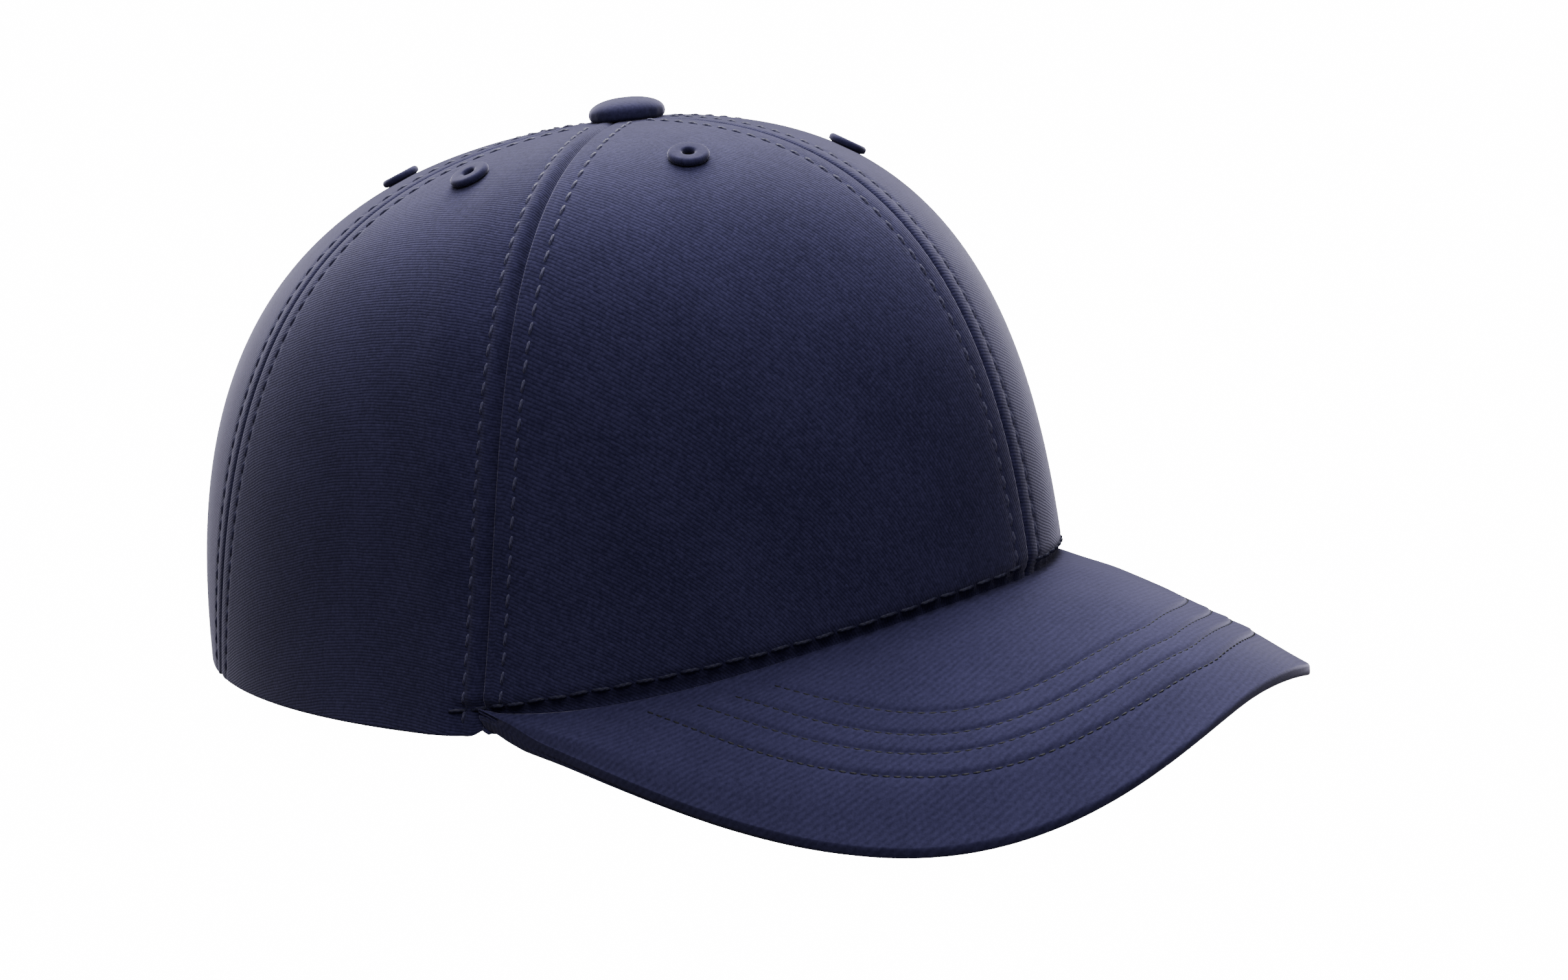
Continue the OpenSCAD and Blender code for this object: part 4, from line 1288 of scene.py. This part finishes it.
# ------------------------------------------------------------------ rear opening
def binding():
    q = np.linspace(0, 90, 46)
    down = np.linspace(0.4, 5.7, 8)
    a0 = np.concatenate([np.full(8, 159.0), 180 - 21 * np.cos(q * D2R)])
    z0 = np.concatenate([down, np.where(q < 1, 6.0, 6 + 38 * np.sin(q * D2R))])
    ca = np.concatenate([np.ones(8), np.cos(q * D2R)])
    sa = np.concatenate([np.zeros(8), np.sin(q * D2R)])
    w = 5.0
    legs = np.array([w, 4.7, 4.0, 3.0, 2.0, 1.0, 0.3])
    d = np.concatenate([legs, -0.35 - 0.55 * np.sin(np.linspace(0, 180, 9) * D2R), legs[::-1]])
    off = np.concatenate([[-0.40, -0.46, -0.50, -0.44, -0.46, -0.52, -0.55], 0.6 - 1.12 * np.cos(np.linspace(0, 180, 9) * D2R), [1.75, 1.72, 1.68, 1.64, 1.66, 1.62, 1.6]])

    def sheet(extra):
        out = []
        dd = d.copy()
        oo = off.copy()
        dd[7:16] = -0.35 - (0.55 + extra) * np.sin(np.linspace(0, 180, 9) * D2R)
        oo[:7] -= extra
        oo[16:] += extra
        oo[7:16] = 0.6 - (1.12 + extra) * np.cos(np.linspace(0, 180, 9) * D2R)
        da = dd[None, :] * ca[:, None] / hem_r(180.0) * 57.3
        dz = dd[None, :] * sa[:, None]
        A = a0[:, None] - da
        Z = np.maximum(z0[:, None] + dz, 0.3)
        T = t_at(A, Z)
        return surf(A, T, np.broadcast_to(oo[None, :], A.shape))
    O, I = sheet(0.2), sheet(-0.2)
    O = np.concatenate([O, flip(O)[::-1][1:]], 0)
    I = np.concatenate([I, flip(I)[::-1][1:]], 0)
    part = slab_part(O, I)
    o = make("arch_binding_tape", part[0], part[1], M_BINDING, "cap", ("arch_binding",), part[2])
    declare_leaf(o, (O + I) / 2)
    parts = []
    for dd, oo, sgn in ((3.8, -0.72, 1), (3.8, 1.9, -1)):
        P, N = [], []
        for k in range(len(a0)):
            a = a0[k] - dd * ca[k] / float(hem_r(180.0)) * 57.3
            t = float(t_at(a, z0[k] + dd * sa[k]))
            P.append(surf(a, t, oo))
            N.append(normal(a, t) * sgn)
        P, N = np.array(P), np.array(N)
        P = np.concatenate([P, flip(P)[::-1][1:]])
        N = np.concatenate([N, flip(N)[::-1][1:]])
        parts.append(edge_threads(P, N, pitch=3.2, length=2.3, radius=0.24))
    threads("arch_binding_stitching", parts, M_THREAD)


binding()


def wall_r(a, z):
    return prof(a, t_at(a, z))[0]


def strap_line(a, z, off):
    a, z, off = np.broadcast_arrays(np.asarray(a, float), np.asarray(z, float), np.asarray(off, float))
    b, c = wall_r(a, 3.0), wall_r(a, 23.0)
    r = b + (c - b) * (z - 3) / 20 - off
    return np.stack([-r * np.sin(a * D2R), -r * np.cos(a * D2R), z], -1)


def strap_grid(a0, a1, z0, z1, round0, round1, n=90, m=21):
    """Angles and heights of a strap whose ends can be rounded."""
    a = np.linspace(a0, a1, n)
    mm = 2.1
    e = np.array([0, 0.2, 0.5, 1.0])
    lo = a0 + e / mm
    a = np.unique(np.concatenate([lo, a, a1 - e[::-1] / mm, a0 + np.linspace(0, round0, 12)[1:] / mm if round0 else [], a1 - np.linspace(0, round1, 12)[1:] / mm if round1 else []]))
    h = np.full(len(a), (z1 - z0) / 2)
    for r, x in ((round0, (a - a0) * mm), (round1, (a1 - a) * mm)):
        if r:
            k = np.clip(x, 0, r)
            h = np.minimum(h, (z1 - z0) / 2 - (r - np.sqrt(np.maximum(0, r * r - (r - k) ** 2))))
    v = np.concatenate([[0, 0.012, 0.03, 0.06], np.linspace(0.1, 0.9, m - 8), [0.94, 0.97, 0.988, 1]])
    A = np.broadcast_to(a[:, None], (len(a), len(v)))
    Z = (z0 + z1) / 2 + h[:, None] * (2 * v[None, :] - 1)
    return A, Z


def strap_piece(name, A, Z, off, t, mat, nodes, body="cap", r=None, texture=None):
    mid = strap_line(A, Z, off + t / 2)
    e = edge_distance(mid)
    r = r or t / 2
    k = np.maximum(t / 2 * np.sqrt(np.maximum(0, 1 - (1 - np.clip(e / r, 0, 1)) ** 2)), 0.02)
    w = 0 if texture is None else texture(A, Z)
    O, I = strap_line(A, Z, off + t / 2 - k + w), strap_line(A, Z, off + t / 2 + k + w)
    part = slab_part(O, I)
    o = make(name, part[0], part[1], mat, body, nodes, part[2])
    return o, mid


def out_of(a):
    return np.stack([-np.sin(a * D2R), -np.cos(a * D2R), a * 0], -1)


def strap_thread(a, z, off, sgn=1, **kw):
    P = strap_line(a, z, off)
    return edge_threads(P, out_of(np.asarray(a, float)) * sgn, **kw)


def straps():
    fold0, fold1 = row(strap_line(161.0, 13.0, 2.7)), row(strap_line(163.4, 13.0, 2.7))
    A, Z = strap_grid(154, 194, 3, 23, 0, 7)
    o, mid = strap_piece("over_strap", A, Z, 2.1, 1.2, M_STRAP, ("strap_anchor", "closure_strap_hook"), None)
    tuple(fold0)
    tuple(fold1)
    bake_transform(o)
    declare_leaf(o, mid)
    parts = []
    aa = np.linspace(155, 190.5, 200)
    for z in (4.6, 21.4):
        parts.append(strap_thread(aa, aa * 0 + z, 2.08))
    for a in (155.2, 157.0):
        zz = np.linspace(5, 21, 40)
        parts.append(strap_thread(zz * 0 + a, zz, 2.08))
    ph = np.linspace(-80, 80, 40) * D2R
    parts.append(strap_thread(191.3 + 1.0 * np.cos(ph), 13 + 8.4 * np.sin(ph), 2.08))
    box_a = np.concatenate([np.linspace(170.8, 188.6, 60), np.full(20, 188.6), np.linspace(188.6, 170.8, 60), np.full(20, 170.8)])
    box_z = np.concatenate([np.full(60, 6.4), np.linspace(6.4, 19.6, 20), np.full(60, 19.6), np.linspace(19.6, 6.4, 20)])
    parts.append(strap_thread(box_a, box_z, 2.08))
    parts = [p for p in parts if p is not None]
    pts, faces, uv = join_parts(parts)
    th = make("over_strap_stitching", pts, faces, M_THREAD, None, (), uv, closed=False)
    tuple(fold0)
    tuple(fold1)
    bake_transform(th)
    A, Z = strap_grid(170, 192, 5, 21, 0, 3, 50)
    o, mid = strap_piece("hook_patch_tape", A, Z, 3.36, 0.8, M_HOOK, ("hook_patch",), "closure_tab", 0.3)
    declare_leaf(o, mid)
    A, Z = strap_grid(168, 198, 5, 21, 3, 0, 60)
    o, mid = strap_piece("loop_patch_pile", A, Z, 4.45, 0.62, M_LOOP, ("loop_patch",), "cap", 0.3)
    declare_leaf(o, mid)
    A, Z = strap_grid(166, 208, 3, 23, 6, 0)
    o, mid = strap_piece("under_strap", A, Z, 5.1, 1.2, M_STRAP, ("closure_strap_loop",), "cap")
    declare_leaf(o, mid)
    parts = []
    aa = np.linspace(169, 207, 200)
    for sgn, off in ((1, 5.08), (-1, 6.32)):
        for z in (4.2, 21.8):
            parts.append(strap_thread(aa, aa * 0 + z, off, sgn))
        for a in (204.4, 206.2):
            zz = np.linspace(5, 21, 40)
            parts.append(strap_thread(zz * 0 + a, zz, off, sgn))
    threads("under_strap_stitching", parts, M_THREAD)


straps()


# ------------------------------------------------------------------ impact insert
def shell_edge(a):
    s, c = np.sin(a * D2R), np.cos(a * D2R)
    return 37 + 5 * s * s + 4 * np.maximum(0, c) ** 2


SE_A = np.linspace(0, 360, 361)
SE_T = t_at(SE_A, shell_edge(SE_A))


def shell_t(a, f):
    t0 = np.interp(np.mod(a, 360), SE_A, SE_T)
    return t0 + (0.955 - t0) * f


def subdivide(o, level):
    m = o.modifiers.new("smooth", "SUBSURF")
    m.levels = m.render_levels = level
    bpy.context.view_layer.update()
    dg = bpy.context.evaluated_depsgraph_get()
    me = bpy.data.meshes.new_from_object(o.evaluated_get(dg))
    old = o.data
    o.modifiers.clear()
    o.data = me
    bpy.data.meshes.remove(old)


def shell():
    n = 144
    cf = np.array([0, .1, .22, .34, .44, .56, .66, .78, .88, 1])
    f = []
    for j in range(9):
        f += list(np.linspace(cf[j], cf[j + 1], 5)[:-1])
    f = np.array(f + [1.0])
    f = np.concatenate([[0, 0.006], f[1:-1], [0.994, 1.0]])
    a = np.arange(n) * 360 / n
    A, F = np.meshgrid(a, f, indexing="ij")
    T = shell_t(A, F)
    rib = 0.35 * np.exp(-((np.mod(A + 10, 20) - 10) / 1.6) ** 2) * smoothstep(F, 0.36, 0.46) * (1 - smoothstep(F, 0.9, 0.97))
    bead = 0.45 * np.exp(-(F / 0.02) ** 2)
    O, I = surf(A, T, 5.0 + rib - bead * 0.3), surf(A, T, 7.2 + bead * 0.0 - 0.1 * rib)
    m = len(f)

    # vents: cells of 10 degrees in the rows of the frame, each opened whole
    def is_open(i, j):
        ci, fm = int(((a[i] + 360 / n / 2) % 360) // 10), (f[j] + f[j + 1]) / 2
        cj = int(np.searchsorted(cf, fm)) - 1
        k = int(round(((a[i] + 360 / n / 2) % 10) / 2.5 - 0.5))
        hole = (cj == 3 and ci % 4 == 2) or (cj == 5 and ci % 4 == 0) or (cj == 7 and ci % 6 == 3)
        return hole
    out, inn, walls = [], [], []
    o = n * m
    op = np.zeros((n, m - 1), bool)
    for i in range(n):
        for j in range(m - 1):
            op[i, j] = is_open(i, j)
    for i in range(n):
        k = (i + 1) % n
        for j in range(m - 1):
            if op[i, j]:
                continue
            p, q, r, s = i * m + j, k * m + j, k * m + j + 1, i * m + j + 1
            out.append([p, q, r, s])
            inn.append([p + o, s + o, r + o, q + o])
            if j == 0 or op[i, j - 1]:
                walls.append([p, p + o, q + o, q])
            if j == m - 2 or op[i, j + 1]:
                walls.append([s, r, r + o, s + o])
            if op[i - 1, j]:
                walls.append([p, s, s + o, p + o])
            if op[(i + 1) % n, j]:
                walls.append([q, q + o, r + o, r])
    pts = np.concatenate([O.reshape(-1, 3), I.reshape(-1, 3)])
    used = np.unique(np.concatenate([np.ravel(out), np.ravel(inn)]))
    new = np.full(len(pts), -1)
    new[used] = np.arange(len(used))
    faces = [new[np.array(x)] for x in (out, inn, walls)]
    uv = np.stack([A, F * 100], -1).reshape(-1, 2)
    uv = np.concatenate([uv, uv])[used]
    obj = make("bump_shell_moulding", pts[used], faces, M_SHELL, "insert", ("bump_shell",), uv)
    subdivide(obj, 1)


shell()


def pad_piece(name, a, f_lo, f_hi, node, wrap=False, channels=(), left=False, seed=3, fs=26):
    v = np.concatenate([[0, 0.01, 0.03, 0.06, 0.1], np.linspace(0.15, 0.85, fs), [0.9, 0.94, 0.97, 0.99, 1]])
    A, V = np.meshgrid(a, v, indexing="ij")
    lo, hi = f_lo(a)[:, None], f_hi(a)[:, None]
    T = shell_t(A, lo + (hi - lo) * V)
    mid = surf(A, T, 10.0)
    e = run(mid, 1)
    e = np.minimum(e, e[:, -1:] - e)
    if not wrap:
        e = np.minimum(e, edge_distance(mid))
    k = np.sqrt(np.maximum(0, 1 - (1 - np.clip(e / 2.2, 0, 1)) ** 2))
    w = np.zeros_like(A)
    for ch in channels:
        w = w + ch(A, V)
    w = np.clip(w, 0, 1)
    O = surf(A, T, 7.45 + 2.3 * (1 - k))
    I = surf(A, T, 9.75 + 2.55 * k - 1.7 * w * k + 0.12 * pucker(A, T, seed) * k)
    part = slab_part(O, I, None, wrap)
    pts = flip(part[0]) if left else part[0]
    o = make(name, pts, part[1], M_FOAM, "insert", (node,), part[2])


def cut(centre, width):
    return lambda A, V: np.exp(-(np.mod(A - centre + 180, 360) - 180) ** 2 / width ** 2)


def pads():
    one = lambda x: (lambda a: np.full(len(a), x))
    ends = lambda a0, a1: np.unique(np.concatenate([a0 + np.array([0, .1, .35, .8, 1.4]), np.linspace(a0, a1, 70), a1 - np.array([0, .1, .35, .8, 1.4])]))
    pad_piece("front_pad_foam", ends(-30, 30), one(.04), one(.34), "front_pad", channels=[cut(-10, 0.9), cut(10, 0.9)])
    pad_piece("rear_pad_foam", ends(150, 210), one(.04), one(.34), "rear_pad", channels=[cut(170, 0.9), cut(190, 0.9)], seed=4)
    pad_piece("side_pad_right_foam", ends(70, 110), one(.04), one(.34), "side_pads", channels=[cut(90, 0.9)], seed=5)
    pad_piece("side_pad_left_foam", ends(70, 110), one(.04), one(.34), "side_pads", channels=[cut(90, 0.9)], left=True, seed=6)
    a = np.arange(180) * 2.0
    pad_piece("crown_pad_foam", a, lambda a: 0.585 - 0.025 * np.cos(4 * a * D2R), lambda a: np.full(len(a), 0.985), "crown_pad", wrap=True, seed=7, fs=40,
              channels=[lambda A, V: np.exp(-((np.mod(A + 22.5, 45) - 22.5) * 0.5) ** 2 / 0.8) * smoothstep(V, 0.05, 0.2) * (1 - smoothstep(V, 0.6, 0.75)),
                        lambda A, V: np.exp(-((V - 0.74) / 0.02) ** 2)])


pads()


def patch_parts(off, h, mat, name, node, body):
    parts = []
    for a, t in ((56, .62), (112, .62)):
        w = 9 / float(prof(np.float64(a), np.float64(t))[0]) * 57.3
        x = np.unique(np.concatenate([np.linspace(-1, 1, 18), [-0.99, -0.96, 0.96, 0.99]]))
        y = np.unique(np.concatenate([np.linspace(-1, 1, 18), [-0.99, -0.96, 0.96, 0.99]]))
        X, Y = np.meshgrid(x, y, indexing="ij")
        # a square with rounded corners
        X2 = X * np.sqrt(1 - 0.16 * (Y ** 4))
        Y2 = Y * np.sqrt(1 - 0.16 * (X ** 4))
        part = crown_leaf(a + X2 * w, t + Y2 * 0.05, off, off + h, 0.25)
        parts.append(part)
        parts.append((flip(part[0]), [f[:, ::-1] for f in part[1]], part[2]))
    for k, (pts, faces, uv) in enumerate(parts):
        label = name + "_" + ("side_right", "side_left", "rear_right", "rear_left")[k]
        o = make(label, pts, faces, mat, body, (node,), uv)
        size = 0.0185
        float(np.clip(leaf_area(pts, faces) / 2e6, 0.31 * size * size, size * size))


def leaf_area(pts, faces):
    s = 0.0
    for f in faces:
        f = np.asarray(f)
        a, b, c, d = (pts[f[:, k]] for k in range(4))
        s += 0.5 * np.linalg.norm(np.cross(c - a, d - b), axis=-1).sum()
    return s


patch_parts(1.95, 0.6, M_LOOP, "shell_loop_patch", "shell_loop_patches", "cap")
patch_parts(3.72, 1.05, M_HOOK, "shell_hook_patch", "shell_hook_patches", "insert")

for node_name, mat in (("button_rivet", M_RIVET),):
    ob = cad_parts[node_name]
    ob.data.materials.clear()
    ob.data.materials.append(mat)


# ------------------------------------------------------------------ camera, light and ground
def lean(v):
    x, y, z = v
    return Vector((x, y * COS + z * SIN, -y * SIN + z * COS))


def camera():
    az, el, ro = -52.77957 * D2R, 11.12740 * D2R, -5.91454 * D2R
    back = np.array([math.sin(az) * math.cos(el), -math.cos(az) * math.cos(el), math.sin(el)])
    right = np.array([math.cos(az), math.sin(az), 0])
    up = np.cross(back, right)
    R = right * math.cos(ro) + up * math.sin(ro)
    U = up * math.cos(ro) - right * math.sin(ro)
    C = np.array([0, 0, 60]) + R * 29.61153 + U * -26.47284 + back * 580.6176
    data = bpy.data.cameras.new("camera")
    data.sensor_fit = "HORIZONTAL"
    data.sensor_width = 36
    data.lens = 3877.5493 * 36 / 2420
    data.clip_start, data.clip_end = 0.01, 20
    o = bpy.data.objects.new("camera", data)
    bpy.context.scene.collection.objects.link(o)
    r, u, b = lean(R), lean(U), lean(back)
    m = Matrix.Identity(4)
    for i in range(3):
        m[i][0], m[i][1], m[i][2] = r[i], u[i], b[i]
        m[i][3] = row(C)[i]
    o.matrix_world = m
    bpy.context.scene.camera = o
    return r, b


CAM_RIGHT, CAM_BACK = camera()
flat_right = Vector((CAM_RIGHT.x, CAM_RIGHT.y, 0)).normalized()
flat_back = Vector((CAM_BACK.x, CAM_BACK.y, 0)).normalized()
AIM = Vector((0, 0, 0.065))


def softbox(name, where, size, watts, aim=AIM, size_y=None):
    data = bpy.data.lights.new(name, "AREA")
    data.shape = "RECTANGLE"
    data.size, data.size_y = size, size_y or size
    data.energy = watts
    o = bpy.data.objects.new(name, data)
    bpy.context.scene.collection.objects.link(o)
    o.location = where
    o.rotation_euler = (aim - Vector(where)).to_track_quat("-Z", "Y").to_euler()
    o.visible_camera = False
    return o


softbox("top_back", AIM - flat_back * 0.5 + Vector((0, 0, 0.85)), 0.8, 33.0)
softbox("top_front", AIM + flat_back * 0.45 + Vector((0, 0, 0.9)), 0.8, 10.2)
softbox("back_left", AIM - flat_right * 0.7 - flat_back * 0.62 + Vector((0, 0, 0.88)), 0.6, 5.4)
softbox("left", AIM - flat_right + Vector((0, 0, 0.4)), 0.6, 0.4)
softbox("right", AIM + flat_right + Vector((0, 0, 0.4)), 0.6, 0.55)
softbox("front", AIM + flat_back * 1.3 + Vector((0, 0, 0.6)), 0.9, 2.2)

world = bpy.data.worlds.new("studio")
bpy.context.scene.world = world
world.use_nodes = True
wt = world.node_tree
wt.nodes.clear()
w_out = wt.nodes.new("ShaderNodeOutputWorld")
w_mix = wt.nodes.new("ShaderNodeMixShader")
w_path = wt.nodes.new("ShaderNodeLightPath")
w_seen, w_fill = wt.nodes.new("ShaderNodeBackground"), wt.nodes.new("ShaderNodeBackground")
w_seen.inputs["Color"].default_value = (1, 1, 1, 1)
w_seen.inputs["Strength"].default_value = 16.0
w_fill.inputs["Color"].default_value = (0.95, 0.97, 1, 1)
w_fill.inputs["Strength"].default_value = 0.015
wt.links.new(w_path.outputs["Is Camera Ray"], w_mix.inputs[0])
wt.links.new(w_fill.outputs[0], w_mix.inputs[1])
wt.links.new(w_seen.outputs[0], w_mix.inputs[2])
wt.links.new(w_mix.outputs[0], w_out.inputs["Surface"])


def ground():
    n = Nodes("pale floor")
    tr = n.node("ShaderNodeBsdfTransparent")
    mix = n.node("ShaderNodeMixShader")
    n.put(n.b.inputs["Base Color"], n.mix(n.noise(6, 2.0, 0.5), (0.86, 0.86, 0.86), (0.9, 0.9, 0.9)))
    n.b.inputs["Roughness"].default_value = 0.9
    mix.inputs[0].default_value = 0.02
    n.t.links.new(tr.outputs[0], mix.inputs[1])
    n.t.links.new(n.b.outputs[0], mix.inputs[2])
    n.t.links.new(mix.outputs[0], n.out.inputs["Surface"])
    s = 3.0
    me = bpy.data.meshes.new("floor")
    me.from_pydata([(-s, -s, -0.0006), (s, -s, -0.0006), (s, s, -0.0006), (-s, s, -0.0006)], [], [(0, 1, 2, 3)])
    me.materials.append(n.m)
    o = bpy.data.objects.new("floor", me)
    bpy.context.scene.collection.objects.link(o)


ground()
